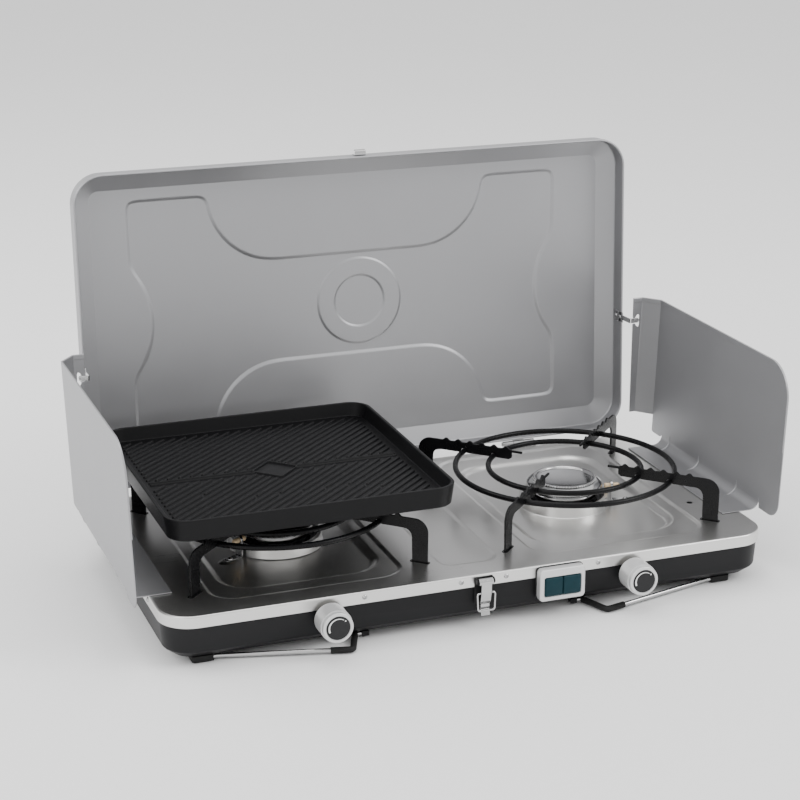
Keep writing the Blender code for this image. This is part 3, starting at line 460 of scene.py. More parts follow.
LOOKS = {
    "stainless": surface("brushed_steel", (0.70, 0.695, 0.68), 1.0, 0.30, mottle=0.035,
                         mottle_size=0.12, grain=0.016, rough_spread=0.03, stretch=(0.02, 1, 1)),
    "chrome": surface("chrome_plate", (0.50, 0.50, 0.50), 1.0, 0.13, mottle=0.04, mottle_size=0.02,
                      grain=0.03, rough_spread=0.04),
    # The three black coats below carry the painted edge highlight.
    "black_paint": surface("black_coat", (0.010, 0.010, 0.0108), 0.0, 0.42, mottle=0.12, grain_size=0.0005,
                           grain=0.10, specular=0.16, edge_highlight=0.08),
    "silver_paint": surface("silver_coat", (0.335, 0.335, 0.345), 0.70, 0.42, mottle=0.035,
                            grain_size=0.0004, grain=0.06),
    "black_enamel": surface("black_enamel_coat", (0.004, 0.004, 0.0045), 0.0, 0.28, mottle=0.15,
                            mottle_size=0.02, grain_size=0.0012, grain=0.04, specular=0.15, edge_highlight=0.08),
    "nonstick": surface("nonstick_coat", (0.0045, 0.0045, 0.005), 0.0, 0.36, mottle=0.15, grain_size=0.0007,
                        grain=0.20, specular=0.15, edge_highlight=0.08),
    "brass": surface("machined_brass", (0.60, 0.44, 0.18), 1.0, 0.28, grain=0.10, stretch=(1, 0.1, 1)),
    "gas_pipe": surface("drawn_tube", (0.60, 0.60, 0.61), 1.0, 0.30, grain=0.06),
    "ceramic": surface("ceramic_body", (0.66, 0.50, 0.31), 0.0, 0.40, mottle=0.16, mottle_size=0.006,
                       grain=0.15),
    "rubber": surface("moulded_rubber", (0.012, 0.012, 0.012), 0.0, 0.62, mottle=0.2, mottle_size=0.01,
                      grain_size=0.0008, grain=0.25, specular=0.2),
    "knob_plastic": surface("silver_plastic", (0.62, 0.62, 0.62), 0.45, 0.32, mottle=0.03, mottle_size=0.01,
                            grain_size=0.0005, grain=0.05),
    "button_plastic": surface("teal_plastic", (0.004, 0.026, 0.034), 0.0, 0.45, mottle=0.10,
                              mottle_size=0.008, grain_size=0.0005, grain=0.12, specular=0.15),
    "black_plastic": surface("dark_plastic", (0.020, 0.020, 0.021), 0.0, 0.46, mottle=0.15,
                             mottle_size=0.01, grain=0.12, specular=0.3),
}
DIAL_WHITE = surface("dial_print", (0.75, 0.75, 0.74), 0.0, 0.45, mottle=0.03, mottle_size=0.004,
                     grain=0.03)
DIAL_DARK = surface("dial_disc", (0.022, 0.022, 0.023), 0.0, 0.5, mottle=0.12, mottle_size=0.004,
                    grain_size=0.0004, grain=0.15, specular=0.15)
CUP_BLACK = surface("burner_cup_coat", (0.012, 0.012, 0.013), 0.0, 0.28, mottle=0.2, mottle_size=0.01,
                    grain=0.08)

# Painted shade: the chrome leg clips are given the black coat so that they read as dark as the shade around
# them.
for row in frame["record"]["subparts"]:
    for slot in frame["nodes"][row["node"]].material_slots:
        slot.material = LOOKS["black_paint" if "clip" in row["node"] else row["material_slot"]]


# ---------------------------------------------------------------- hob plate and base
def pressed_step(bm, x_range, y_range, radius, width, top, drop):
    """Soft step down along a rounded rectangle; gives its upper and its lower rim."""
    loops = [loop_at(bm, rounded_rect(x_range, y_range, radius, inset=width * (t - 0.5)),
                     top - drop * smooth_step(t)) for t in sweep(1, 6)]
    loft(bm, loops, capped=False)
    return loops[0], loops[-1]


def around_burner(side, angle=0):
    """Matrix from a burner's centre on the table, turned about it by an angle in degrees."""
    centre = Matrix.Translation((side * BURNER_X, BURNER_Y, 0))
    return centre @ Matrix.Rotation(math.radians(angle), 4, "Z")


def slot_places():
    return [around_burner(side, angle) for _, side in SIDES for angle in ARM_ANGLES.values()]


def button_window():
    """Opening that both igniter buttons pass through: its x range and its z range."""
    low, high = stove_box("igniter_button_left")[0], stove_box("igniter_button_right")[1]
    return (low.x - GAP, high.x + GAP), (low.z - GAP, high.z + GAP)


def build_hob_plate():
    bm = bmesh.new()
    edge = rounded_profile(((0, PLATE_TOP - LIP_HEIGHT), (0, PLATE_TOP), (0.004, PLATE_TOP)), 0.0016)
    rings = [loop_at(bm, rounded_rect((-PLATE_HALF, PLATE_HALF), (0, DEPTH), PLATE_RADIUS, 16, inset), z)
             for inset, z in edge]
    loft(bm, rings, capped=False)
    plate_rims = [rings[-1]]

    rim, floor = pressed_step(bm, *MIDDLE_PANEL, BASIN_EDGE, PLATE_TOP, MIDDLE_DEPTH)
    plate_rims.append(rim)
    fill_between(bm, [floor])
    for _, side in SIDES:
        basin_x, well_x = (sorted((side * near, side * far)) for near, far in (BASIN_X, WELL_X))
        rim, basin = pressed_step(bm, basin_x, BASIN_Y, BASIN_RADIUS, BASIN_EDGE, PLATE_TOP, BASIN_DEPTH)
        plate_rims.append(rim)
        rim, well = pressed_step(bm, well_x, WELL_Y, WELL_RADIUS, WELL_EDGE, PLATE_TOP - BASIN_DEPTH,
                                 WELL_DEPTH)
        fill_between(bm, [basin, rim])
        collar = rounded_profile(((COLLAR_RADIUS + 0.009, WELL_FLOOR), (COLLAR_RADIUS + 0.0010, WELL_FLOOR),
                                  (COLLAR_RADIUS, COLLAR_TOP - GAP), (0.0402, COLLAR_TOP - GAP)), 0.0012)
        rows = [loop_at(bm, circle(side * BURNER_X, BURNER_Y, radius, 96), z) for radius, z in collar]
        loft(bm, rows, capped=False)
        fill_between(bm, [well, rows[0]])
    fill_between(bm, plate_rims)
    plate = new_object("hob_plate_skin", bm, 50)
    thicken(plate, SHEET, (0, 0, 1))

    tools = bmesh.new()
    for turn in slot_places():
        add_box(tools, SLOT_X, (-SLOT_HALF, SLOT_HALF), (PLATE_TOP - 0.01, PLATE_TOP + 0.005), turn)
    add_turned(tools, ((0, -0.01), (0.003, -0.01), (0.003, 0.01), (0, 0.01)),
               Matrix.Translation((0.260, 0.096, PLATE_TOP)), count=32)
    half = stove_box("latch_plate")[1].x + GAP
    add_tray(tools, (-half, half), (0.030, PLATE_TOP - 0.0018), 0.002, ((0, -0.003), (0, 0.0045)),
             FRONT_UP, steps=4)
    window_x, window_z = button_window()
    add_box(tools, window_x, (-0.003, 0.0045), (0.030, window_z[1]))
    cut(plate, tools, crease=50)
    piece("hob_plate_skin", plate, "stainless", "base", ["hob_plate"], crease=50)


def build_slot_grommets():
    """Raised rims round the slots that the support legs stand in."""
    bm = bmesh.new()
    outer = rounded_rect(SLOT_X, (-SLOT_HALF, SLOT_HALF), 0.0006, 4, -0.0010)
    inner = rounded_rect(SLOT_X, (-SLOT_HALF, SLOT_HALF), 0.0010, 4, -0.0002)
    for turn in slot_places():
        loft(bm, [loop_at(bm, outline, PLATE_TOP + rise, turn) for outline, rise in
                  ((outer, -0.0002), (outer, 0.0003), (inner, 0.0003), (inner, -0.0002))], closed=True)
    piece("support_slot_grommets", bm, "black_enamel", "base")


def build_pan():
    low, high = stove_box("base_pan")
    inset = low.y
    outer = rounded_profile(((inset + 0.030, low.z), (inset + 0.0125, low.z), (inset + 0.0020, 0.0145),
                             (inset, high.z)), 0.0035)
    inner = [(i + SHEET, z + (SHEET if z < 0.0075 else 0)) for i, z in outer][::-1]
    bm = bmesh.new()
    add_tray(bm, (-PLATE_HALF, PLATE_HALF), (0, DEPTH), PLATE_RADIUS, outer + inner, steps=16)
    pan = new_object("base_pan_skin", bm, 50)
    tools = bmesh.new()
    for node, y, radius in (("knob_left", 0, 0.005), ("knob_right", 0, 0.005), ("gas_inlet", DEPTH, 0.0057)):
        middle = middle_of(node)
        add_turned(tools, ((0, -0.01), (radius, -0.01), (radius, 0.01), (0, 0.01)),
                   along_y(middle.x, y, middle.z), count=32)
    window_x, window_z = button_window()
    add_box(tools, window_x, (-0.003, 0.0065), window_z)
    cut(pan, tools, crease=50)
    piece("base_pan_skin", pan, "black_paint", "base", ["base_pan"], crease=50)


def build_lip_screws():
    bm = bmesh.new()
    recess = bmesh.new()
    arm, slit = 0.0013, 0.00035
    cross = [(arm, -slit), (arm, slit), (slit, slit)]
    for _ in range(3):
        cross += [(-v, u) for u, v in cross[-3:]]
    spots = [((x, 0, PLATE_TOP - 0.0050), (0, -1, 0)) for x in (-0.114, -0.022, 0.022, 0.114)]
    spots += [((side * PLATE_HALF, 0.062, PLATE_TOP - 0.0050), (side, 0, 0)) for _, side in SIDES]
    for centre, axis in spots:
        add_dome(bm, centre, axis, 0.0024, 0.0014, 24)
        turned = facing(centre, axis) @ Matrix.Rotation(math.radians(30), 4, "Z")
        add_prism(recess, cross, 0.0004, 0.0030, turned)
    screws = new_object("lip_screws", bm, 38)
    cut(screws, recess)
    piece("lip_screws", screws, "chrome", "base")


# ---------------------------------------------------------------- burners
def build_burners():
    crown = rounded_profile(((0.0200, 0.0470), (0.0300, 0.0475), (0.0335, 0.0560)), 0.001, 3)
    crown += [(0.0337, 0.0562), (0.0338, 0.0597), (0.0334, 0.0602), (0.0318, 0.0606), (0.0322, 0.0618),
              (0.0345, 0.0626), (0.0366, 0.0634), (0.0376, 0.0644), (0.0376, 0.0660), (0.0372, 0.0669),
              (0.0362, 0.0678), (0.0345, 0.0688), (0.0325, 0.0697), (0.0308, 0.0699), (0.0301, 0.0692),
              (0.0300, 0.0600), (0.0200, 0.0590)]
    cap = [(0, 0.0600), (0.0290, 0.0600), (0.0294, 0.0695), (0.0300, 0.0701), (0.0312, 0.0703),
           (0.0314, 0.0706), (0.0314, 0.0714), (0.0312, 0.0717), (0.0305, 0.0722), (0.0294, 0.0724),
           (0.0284, 0.0720), (0.0278, 0.0712)]
    cap += [(0.0272 * t, 0.0686 + 0.0020 * t ** 2.2) for t in (1, 0.93, 0.85, 0.75, 0.6, 0.45, 0.3, 0.15)]
    cup = ((0.0150, 0.0420), (0.0398, 0.0438), (0.0408, 0.0446), (0.0412, 0.0520), (0.0400, 0.0528),
           (0.0375, 0.0529), (0.0372, 0.0500), (0.0330, 0.0485), (0.0310, 0.0440), (0.0150, 0.0440))
    for name, side in SIDES:
        centre = around_burner(side)
        turned_piece(f"burner_crown_{name}", crown, centre, "chrome", "base", [f"burner_head_{name}"],
                     144, True, crease=30)
        bm = bmesh.new()
        add_turned(bm, cap + [(0, 0.0686)], centre, 360, ports=72, port_rows=range(4, 8), port_depth=0.0011)
        piece(f"burner_dish_{name}", bm, "chrome", "base", [f"burner_cap_{name}"])
        bm = bmesh.new()
        add_turned(bm, cup, centre, 96, closed=True)
        for k in range(10):
            add_box(bm, (0.0290, 0.0318), (-0.0040, 0.0040), (0.0470, 0.0570), around_burner(side, 36 * k))
        piece(f"burner_cup_{name}", bm, "black_enamel", "base", look=CUP_BLACK, bevel=0.0003)
        build_igniter_bracket(name, side)


IGNITER_ANGLE = {"left": 209, "right": -15}
IGNITER_Z = 0.0610
BRACKET_NEAR = 0.0478                # the bracket's upright, from the burner's centre
BRACKET_END = {"left": 0.066, "right": 0.068}
BRACKET_HALF = 0.0042
LOBE_RADIUS = 0.0078


def build_igniter_bracket(name, side):
    """Strip that carries the ceramic igniter, and its screw, beside the burner."""
    turn = around_burner(side, IGNITER_ANGLE[name])
    outer, low = BRACKET_END[name], WELL_FLOOR + 0.0011
    strip = rounded_path(((BRACKET_NEAR, 0, 0.0590), (BRACKET_NEAR, 0, low), (outer, 0, low)), 0.0015, 5)
    bm = bmesh.new()
    sections = []
    for k, point in enumerate(strip):
        ahead = strip[min(k + 1, len(strip) - 1)] - strip[max(k - 1, 0)]
        normal = Vector((-ahead.z, 0, ahead.x)).normalized() * 0.0005
        width = BRACKET_HALF if k < len(strip) - 1 else BRACKET_HALF * 0.7
        sections.append([bm.verts.new(turn @ (point + normal * s + Vector((0, w, 0))))
                         for s, w in ((-1, -width), (1, -width), (1, width), (-1, width))])
    loft(bm, sections)
    add_turned(bm, ((0.0025, -0.0012), (0.0042, -0.0012), (0.0042, 0.0012), (0.0025, 0.0012)),
               turn @ along_x(BRACKET_NEAR, 0, IGNITER_Z), 24, closed=True)
    piece(f"igniter_bracket_{name}", bm, "chrome", "base", bevel=0.0002)
    bm = bmesh.new()
    add_dome(bm, turn @ Vector((outer - 0.0055, 0, WELL_FLOOR + 0.0016)), (0, 0, 1), 0.0030, 0.0018, 20)
    piece(f"bracket_screw_{name}", bm, "chrome", "base")
    lobe = turn @ Matrix.Translation((0.0610, 0, WELL_FLOOR)) @ Matrix.Diagonal((1.5, 1.0, 1.0, 1.0))
    crest = [(LOBE_RADIUS * math.cos(a), 0.0010 * smooth_step(math.sin(a))) for a in sweep(QUARTER, 10)[:-1]]
    profile = [(0, -0.0006), (LOBE_RADIUS, -0.0006)] + crest + [(0, 0.0010)]
    turned_piece(f"pressed_lobe_{name}", profile, lobe, "stainless", "base")
    profile = ((0, 0.0405), (0.0018, 0.0405), (0.0024, 0.0412), (0.0024, 0.0450), (0.0021, 0.0453),
               (0.0021, 0.0460), (0.0024, 0.0463), (0.0024, 0.0545), (0.0016, 0.0555), (0, 0.0555))
    turned_piece(f"igniter_ceramic_{name}", profile, turn @ along_x(0, 0, IGNITER_Z), "ceramic", "base",
                 [f"electrode_{name}"], 32)
    bm = bmesh.new()
    route = ((0.0420, 0, IGNITER_Z), (0.0385, 0, IGNITER_Z), (0.0383, 0, IGNITER_Z + 0.0025))
    add_wire(bm, rounded_path([turn @ Vector(spot) for spot in route], 0.0006, 5), 0.0005, 10)
    piece(f"igniter_tip_{name}", bm, "chrome", "base")


def add_strip(bm, route, thickness, low, high, matrix=Matrix(), radius=0.0008):
    """Bent sheet-metal strip: a route in the matrix's XY plane, extruded from low to high."""
    path = [Vector((a, b, 0)) for a, b in route]
    path = rounded_path(path, radius, 5) if radius else path
    front, back = [], []
    for k, point in enumerate(path):
        ahead = (path[min(k + 1, len(path) - 1)] - path[max(k - 1, 0)]).normalized() * thickness / 2
        front.append((point.x - ahead.y, point.y + ahead.x))
        back.append((point.x + ahead.y, point.y - ahead.x))
    add_prism(bm, front + back[::-1], low, high, matrix)


# ---------------------------------------------------------------- lid
PANEL_CENTRE = (-0.0065, 0.167)      # embossed panel of the lid: x, and height along the lid
PANEL_HALF = (0.229, 0.122)
PANEL_STEP = 0.0018
PANEL_SPACING = 0.002
SOFTENING_PASSES = 22
NOTCH_FLAT = 0.078                   # top and bottom notches: half the length of their flat
NOTCH_RADIUS = 0.069
DENT_CENTRE = 0.2895                 # side dents
DENT_RADIUS = 0.0825
DENT_HALF = 0.055
EMBLEM_CENTRE = (0.004, 0.1685)
EMBLEM_RADII = (0.0445, 0.0270)
LID_FIELD = LID_DEPTH - PANEL_STEP


def panel_outline():
    """Outline of the lid's pressed panel, evenly spaced and softened at its corners."""
    quarter = [(DENT_CENTRE - math.sqrt(DENT_RADIUS ** 2 - v * v), v) for v in sweep(DENT_HALF, 12)]
    quarter.append(PANEL_HALF)
    quarter += arc(NOTCH_FLAT, PANEL_HALF[1], NOTCH_RADIUS, -NOTCH_RADIUS, sweep(QUARTER, 16))
    half = quarter + [(-u, v) for u, v in quarter[::-1]]
    corners = [Vector(p) for p in half + [(u, -v) for u, v in half[::-1]]]
    points = []
    for a, b in zip(corners, corners[1:] + corners[:1]):
        count = max(1, round((b - a).length / PANEL_SPACING)) if (b - a).length > 1e-6 else 0
        points += [a.lerp(b, k / count) for k in range(count)]
    for _ in range(SOFTENING_PASSES):
        points = [(points[k - 1] + 2 * points[k] + points[(k + 1) % len(points)]) / 4
                  for k in range(len(points))]
    return points


def offset_outline(points, distance):
    """Outline moved inwards by a distance; points run counter-clockwise."""
    moved = []
    for k, point in enumerate(points):
        ahead = (points[(k + 1) % len(points)] - points[k - 1]).normalized()
        moved.append(point + Vector((-ahead.y, ahead.x)) * distance)
    return moved


def build_lid():
    # In this frame outlines are (x, -height on the lid) and levels are depths behind its rim.
    depth_up = lid_matrix() @ Matrix.Rotation(-QUARTER, 4, "X")
    outer = ((-LID_HALF, LID_HALF), (-LID_TOP, -LID_BOTTOM), LID_RADIUS, 14)
    bm = bmesh.new()
    section = ((0.0002, 0.0030), (0.0002, 0.0205), (0.0200, LID_FIELD), (0.030, LID_FIELD))
    wall = rounded_profile(section, 0.0034)
    rings = [loop_at(bm, rounded_rect(*outer, inset=inset), depth, depth_up) for inset, depth in wall]
    loft(bm, rings, capped=False)
    centre = Vector((PANEL_CENTRE[0], -PANEL_CENTRE[1]))
    outline = [centre + p for p in panel_outline()]
    rows = [loop_at(bm, offset_outline(outline, 0.0044 * (t - 0.5)), LID_FIELD + PANEL_STEP * smooth_step(t),
                    depth_up) for t in sweep(1, 6)]
    loft(bm, rows, capped=False)
    fill_between(bm, [rings[-1], rows[0]], depth_up)
    emblem = []
    for radius, inner in zip(EMBLEM_RADII, (False, True)):
        for t in sweep(1, 5):
            part = 1 - smooth_step(t) if inner else smooth_step(t)
            disc = circle(EMBLEM_CENTRE[0], -EMBLEM_CENTRE[1], radius + 0.0032 * (0.5 - t), 96)
            emblem.append(loop_at(bm, disc, LID_DEPTH - 0.0013 * part, depth_up))
    loft(bm, emblem, capped=False)
    fill_between(bm, [rows[-1], emblem[0]], depth_up)
    bm.faces.new(emblem[-1])
    shell = new_object("lid_skin", bm, 45)
    thicken(shell, SHEET, (0, 1, 0))
    piece("lid_skin", shell, "silver_paint", "lid", ["lid_shell"], crease=45)

    bm = bmesh.new()
    section = rounded_rect((-0.0002, 0.0021), (0, 0.0055), 0.0011, 4)
    loft(bm, [loop_at(bm, rounded_rect(*outer, inset=inset), depth, depth_up) for inset, depth in section],
         closed=True)
    piece("lid_rim_hem", bm, "silver_paint", "lid")


def build_lid_hardware():
    space = lid_matrix()
    top = LID_TOP + GAP
    bm = bmesh.new()
    route = ((0.0120, top + 0.0005), (0.0039, top + 0.0005), (0.0039, top + 0.0045), (0.0070, top + 0.0056))
    add_strip(bm, route, 0.0010, -0.0058, 0.0058, space @ yz_plane(0), 0.0009)
    for x in (-0.0032, 0.0032):
        add_dome(bm, space @ Vector((x, 0.0090, top + 0.0010)), space.col[2].to_3d(), 0.0015, 0.0007)
    piece("lid_catch", bm, "chrome", "lid", ["lid_strike"], bevel=0.0002)

    level = HOOK_Z - PLATE_TOP
    inside = LID_HALF - SHEET - GAP
    near = -0.0205
    for name, side in SIDES:
        flip = space @ Matrix.Scale(side, 4, (1, 0, 0))
        bm = bmesh.new()
        route = ((inside - 0.0005, 0.018), (inside - 0.0005, -0.0030))
        add_strip(bm, route, 0.0010, level - 0.0055, level + 0.0055, flip, 0)
        route = ((inside - 0.0005, 0.0010), (inside - 0.0005, near + 0.0005), (0.2996, near + 0.0005))
        add_strip(bm, route, 0.0011, level - 0.0026, level + 0.0026, flip, 0.0016)
        axis = flip @ along_y(0.2983, near, level)
        stud = ((0, 0.0005), (0.0018, 0.0005), (0.0018, 0.0044), (0.0011, 0.0048), (0.0011, 0.0060),
                (0.0017, 0.0064), (0.0017, 0.0068), (0, 0.0070))
        add_turned(bm, stud, axis, 32)
        collar = ((0.0017, -0.0001), (0.0026, -0.0001), (0.0026, 0.0014), (0.0017, 0.0014))
        add_turned(bm, collar, axis, 32, closed=True)
        for depth in (0.0030, 0.0125):
            spot = flip @ Vector((inside - 0.0010, depth, level))
            add_dome(bm, spot, (-side, 0, 0), 0.0021, 0.0010, 20)
        piece(f"windshield_hook_{name}", bm, "chrome", "lid", [f"shield_hook_{name}"], bevel=0.0002)


# ---------------------------------------------------------------- windshields
HOOK_Z = 0.179
SHIELD_FOOT_X = 0.3145
SHIELD_TOP_X = 0.320
SHIELD_Y = (0.020, 0.283)
SHIELD_LOW = 0.052
SHIELD_TOP = 0.204
SHIELD_PANEL_LOW = 0.077
SHIELD_SHEET = 0.0010
FLANGE_Y = (0.056, 0.260)
FLANGE_X = 0.2745
RETURN_Y = 0.2995
RETURN_X = 0.2945
RETURN_SHIFT = 0.0145
SHIELD_BEND = 0.010
SHIELD_BEND_Z = PLATE_TOP + GAP + SHIELD_SHEET / 2 + SHIELD_BEND
SHIELD_RADIUS = 0.034
SHIELD_FOOT_RADIUS = 0.016


def shield_x(z):
    return SHIELD_FOOT_X + (SHIELD_TOP_X - SHIELD_FOOT_X) * (z - SHIELD_LOW) / (SHIELD_TOP - SHIELD_LOW)


def shield_outline():
    """Windshield wall seen from the side, from its front foot over the top to its rear and back."""
    front, rear = SHIELD_Y
    points = arc(front + SHIELD_FOOT_RADIUS, SHIELD_LOW + SHIELD_FOOT_RADIUS, SHIELD_FOOT_RADIUS,
                 SHIELD_FOOT_RADIUS, [-QUARTER - a for a in sweep(QUARTER, 10)])
    points += arc(front + SHIELD_RADIUS, SHIELD_TOP - SHIELD_RADIUS, -SHIELD_RADIUS, SHIELD_RADIUS,
                  sweep(QUARTER, 18))
    return points + [(rear, SHIELD_TOP), (rear, SHIELD_PANEL_LOW), (rear, 0.0605), (rear - 0.0010, 0.0585),
                     (rear - 0.0035, 0.058), (FLANGE_Y[1] + 0.004, 0.058)]


def build_windshield(name, side):
    bend_z = SHIELD_BEND_Z
    bm = bmesh.new()

    def vertex(x, y, z):
        return bm.verts.new((side * x, y, z))

    tail = [(FLANGE_Y[1], bend_z), (FLANGE_Y[0], bend_z), (FLANGE_Y[0] - 0.0012, SHIELD_LOW)]
    wall = [vertex(shield_x(z) - SHIELD_SHEET / 2, y, z) for y, z in shield_outline() + tail]
    bm.faces.new(wall)
    rear_top, rear_low = (next(v for v in wall if (v.co.yz - Vector((SHIELD_Y[1], z))).length < 1e-6)
                          for z in (SHIELD_TOP, SHIELD_PANEL_LOW))
    previous = (wall[-3], wall[-2])
    middle_x = shield_x(bend_z) - SHIELD_SHEET / 2 - SHIELD_BEND
    rows = arc(middle_x, bend_z, SHIELD_BEND, -SHIELD_BEND, sweep(QUARTER, 10)[1:])
    for x, z in rows + [(FLANGE_X, bend_z - SHIELD_BEND)]:
        row = (vertex(x, FLANGE_Y[1], z), vertex(x, FLANGE_Y[0], z))
        bm.faces.new((previous[0], previous[1], row[1], row[0]))
        previous = row

    edge_low = vertex(shield_x(SHIELD_PANEL_LOW) - RETURN_SHIFT, RETURN_Y, SHIELD_PANEL_LOW)
    edge_top = vertex(shield_x(SHIELD_TOP) - RETURN_SHIFT, RETURN_Y, SHIELD_TOP)
    bm.faces.new((rear_low, rear_top, edge_top, edge_low))
    keyhole = [(0, -0.0036), (0.0016, -0.0030), (0.0030, -0.0034), (0.0046, -0.0060), (0.0066, -0.0072),
               (0.0076, -0.0050)]
    keyhole += [(dx, -dz) for dx, dz in keyhole[::-1]]
    inner = [vertex(RETURN_X, RETURN_Y, SHIELD_PANEL_LOW)]
    inner += [vertex(RETURN_X + dx, RETURN_Y, HOOK_Z + dz) for dx, dz in keyhole]
    inner += [vertex(RETURN_X, RETURN_Y, SHIELD_TOP)]
    bm.faces.new([edge_low] + inner + [edge_top])
    shield = new_object("windshield", bm, 30)
    thicken(shield, SHIELD_SHEET)
    shield.data.set_sharp_from_angle(angle=math.radians(30))
    piece(f"windshield_skin_{name}", shield, "silver_paint", f"shield_{name}", [f"windshield_{name}"],
          crease=30, bevel=0.0003)


def hem_stations():
    """Edge point, direction into the panel and direction of the inner face along a windshield's top."""
    stations = []
    inward = Vector((-1, 0, 0))
    turn_y, turn_z = SHIELD_Y[0] + SHIELD_RADIUS, SHIELD_TOP - SHIELD_RADIUS
    for width, z in ((0.0008, turn_z - 0.050), (0.0030, turn_z - 0.022)):
        stations.append((Vector((shield_x(z), SHIELD_Y[0], z)), Vector((0, 1, 0)), inward, width))
    for a in sweep(QUARTER, 18):
        out = Vector((0, -math.cos(a), math.sin(a)))
        y, z = turn_y + SHIELD_RADIUS * out.y, turn_z + SHIELD_RADIUS * out.z
        stations.append((Vector((shield_x(z), y, z)), -out, inward, 0.0050))
    chamfer = Vector((-(RETURN_Y - SHIELD_Y[1]), -RETURN_SHIFT, 0)).normalized()
    back = Vector((0, -1, 0))
    corners = ((shield_x(SHIELD_TOP), SHIELD_Y[1], inward + chamfer),
               (shield_x(SHIELD_TOP) - RETURN_SHIFT, RETURN_Y, chamfer + back),
               (RETURN_X, RETURN_Y, back))
    for x, y, normal in corners:
        scale = 2 / normal.length_squared if normal.length > 1.2 else 1
        stations.append((Vector((x, y, SHIELD_TOP)), Vector((0, 0, -1)), normal * scale, 0.0050))
    return stations


def build_hem(name, side):
    """Folded edge along the top of a windshield, standing 0.8 mm proud of the inside."""
    bm = bmesh.new()
    flip = Matrix.Scale(side, 4, (1, 0, 0))
    sections = []
    for point, into, inner, width in hem_stations():
        face = point + inner * SHIELD_SHEET
        if abs(inner.x) < 0.99:
            face = point + inner * (SHIELD_SHEET / 2) + Vector((-SHIELD_SHEET / 2, 0, 0)) * (point.y < 0.29)
        sections.append([bm.verts.new(flip @ (face + into * a + inner * b)) for a, b in
                         ((0.0001, -0.0002), (0.0001, 0.0005), (0.0005, 0.0008), (width - 0.0004, 0.0008),
                          (width, 0.0004), (width, -0.0002))])
    loft(bm, sections)
    piece(f"windshield_hem_{name}", bm, "silver_paint", f"shield_{name}", crease=30)


def build_gussets(name, side):
    """Pressed stiffening beads across the bend of a windshield."""
    bm = bmesh.new()
    bend_z = SHIELD_BEND_Z
    middle_x = shield_x(bend_z) - SHIELD_SHEET / 2 - SHIELD_BEND
    reach = SHIELD_BEND - 0.0003
    route = [(middle_x + reach, bend_z + 0.0045), (middle_x + reach, bend_z + 0.002)]
    route += arc(middle_x, bend_z, reach, -reach, sweep(QUARTER, 10))
    route += [(middle_x - 0.002, bend_z - reach), (middle_x - 0.0045, bend_z - reach)]
    for y in (0.100, 0.178, 0.242):
        path = [Vector((side * x, y, z)) for x, z in route]
        radii = [0.0002 + 0.0013 * math.sin(t) for t in sweep(math.pi, len(path) - 1)]
        add_wire(bm, path, radii, 16)
    piece(f"windshield_gussets_{name}", bm, "silver_paint", f"shield_{name}")


# ---------------------------------------------------------------- pan supports and griddle
RING_WIRE = 0.00275
RING_RADII = (("outer", 0.108), ("inner", 0.0755))
RING_Z = 0.0825
ARM_FOOT = 0.150
ARM_THICK = 0.002
ARM_TOP = 0.0918
ARM_BOTTOM = 0.0813
ARM_LEG_WIDTH = 0.016
ARM_LEG_END = 0.040
BUMP = 0.0025


def arm_outline():
    """Arm seen from the side: (distance from the burner's centre, height)."""
    inner = 0.056
    outer = ARM_FOOT + ARM_LEG_WIDTH / 2
    leg_inner = ARM_FOOT - ARM_LEG_WIDTH / 2
    finger, finger_low, finger_top = inner - 0.011, ARM_TOP - 0.003, ARM_TOP - 0.0008
    points = [(inner, ARM_BOTTOM + 0.002), (inner, finger_low), (finger, finger_low), (finger, finger_top),
              (inner, finger_top)]
    for k in range(6):
        centre = inner + 0.0065 + 0.0130 * k
        points += [(centre + 0.0042 * t, ARM_TOP + BUMP * (1 - smooth_step(abs(t)) ** 1.4))
                   for t in (j / 8 * 2 - 1 for j in range(9))]
    bend = 0.013
    points += [(x, z) for z, x in arc(ARM_TOP - bend, outer - bend, bend, bend, sweep(QUARTER, 14))]
    points += [(outer - 0.0005, ARM_LEG_END), (leg_inner + 0.0005, ARM_LEG_END)]
    points += arc(leg_inner - 0.008, ARM_BOTTOM - 0.008, 0.008, 0.008, sweep(QUARTER, 10))
    notch = RING_WIRE + GAP
    for _, radius in RING_RADII:
        points.append((radius + notch, ARM_BOTTOM))
        points += arc(radius, RING_Z, notch, notch, sweep(math.pi, 14))
        points.append((radius - notch, ARM_BOTTOM))
    points.append((inner + 0.003, ARM_BOTTOM))
    return points


def build_supports():
    for name, side in SIDES:
        for ring, radius in RING_RADII:
            section = arc(radius, RING_Z, RING_WIRE, RING_WIRE, sweep(2 * math.pi, 20)[:-1])
            turned_piece(f"ring_{ring}_{name}", section, around_burner(side), "black_enamel",
                         f"support_{name}", [f"support_ring_{ring}_{name}"], 144, True)
        for corner, angle in ARM_ANGLES.items():
            bm = bmesh.new()
            turn = around_burner(side, angle) @ FRONT_UP
            add_prism(bm, arm_outline(), -ARM_THICK / 2, ARM_THICK / 2, turn)
            piece(f"arm_{corner}_{name}", bm, "black_enamel", f"support_{name}",
                  [f"support_arm_{corner}_{name}"], crease=30, bevel=0.0003)


GRIDDLE_LOW, GRIDDLE_HIGH = stove_box("griddle")
GRIDDLE_FLOOR = 0.111
GRIDDLE_UNDER = 0.106
RIB_ANGLE = math.radians(42)
RIB_PITCH = 0.0074
RIB_MARGIN = 0.0155
DIAMOND_HALF = 0.0170                # smooth diamond in the middle: half the length of its sides


def clip_line(point, direction, low, high):
    """Part of a line that lies in a rectangle, as two distances along it, or None."""
    start, end = -10.0, 10.0
    for p, d, a, b in zip(point, direction, low, high):
        if abs(d) < 1e-9:
            if not a < p < b:
                return None
            continue
        near, far = sorted(((a - p) / d, (b - p) / d))
        start, end = max(start, near), min(end, far)
    return (start, end) if end > start else None


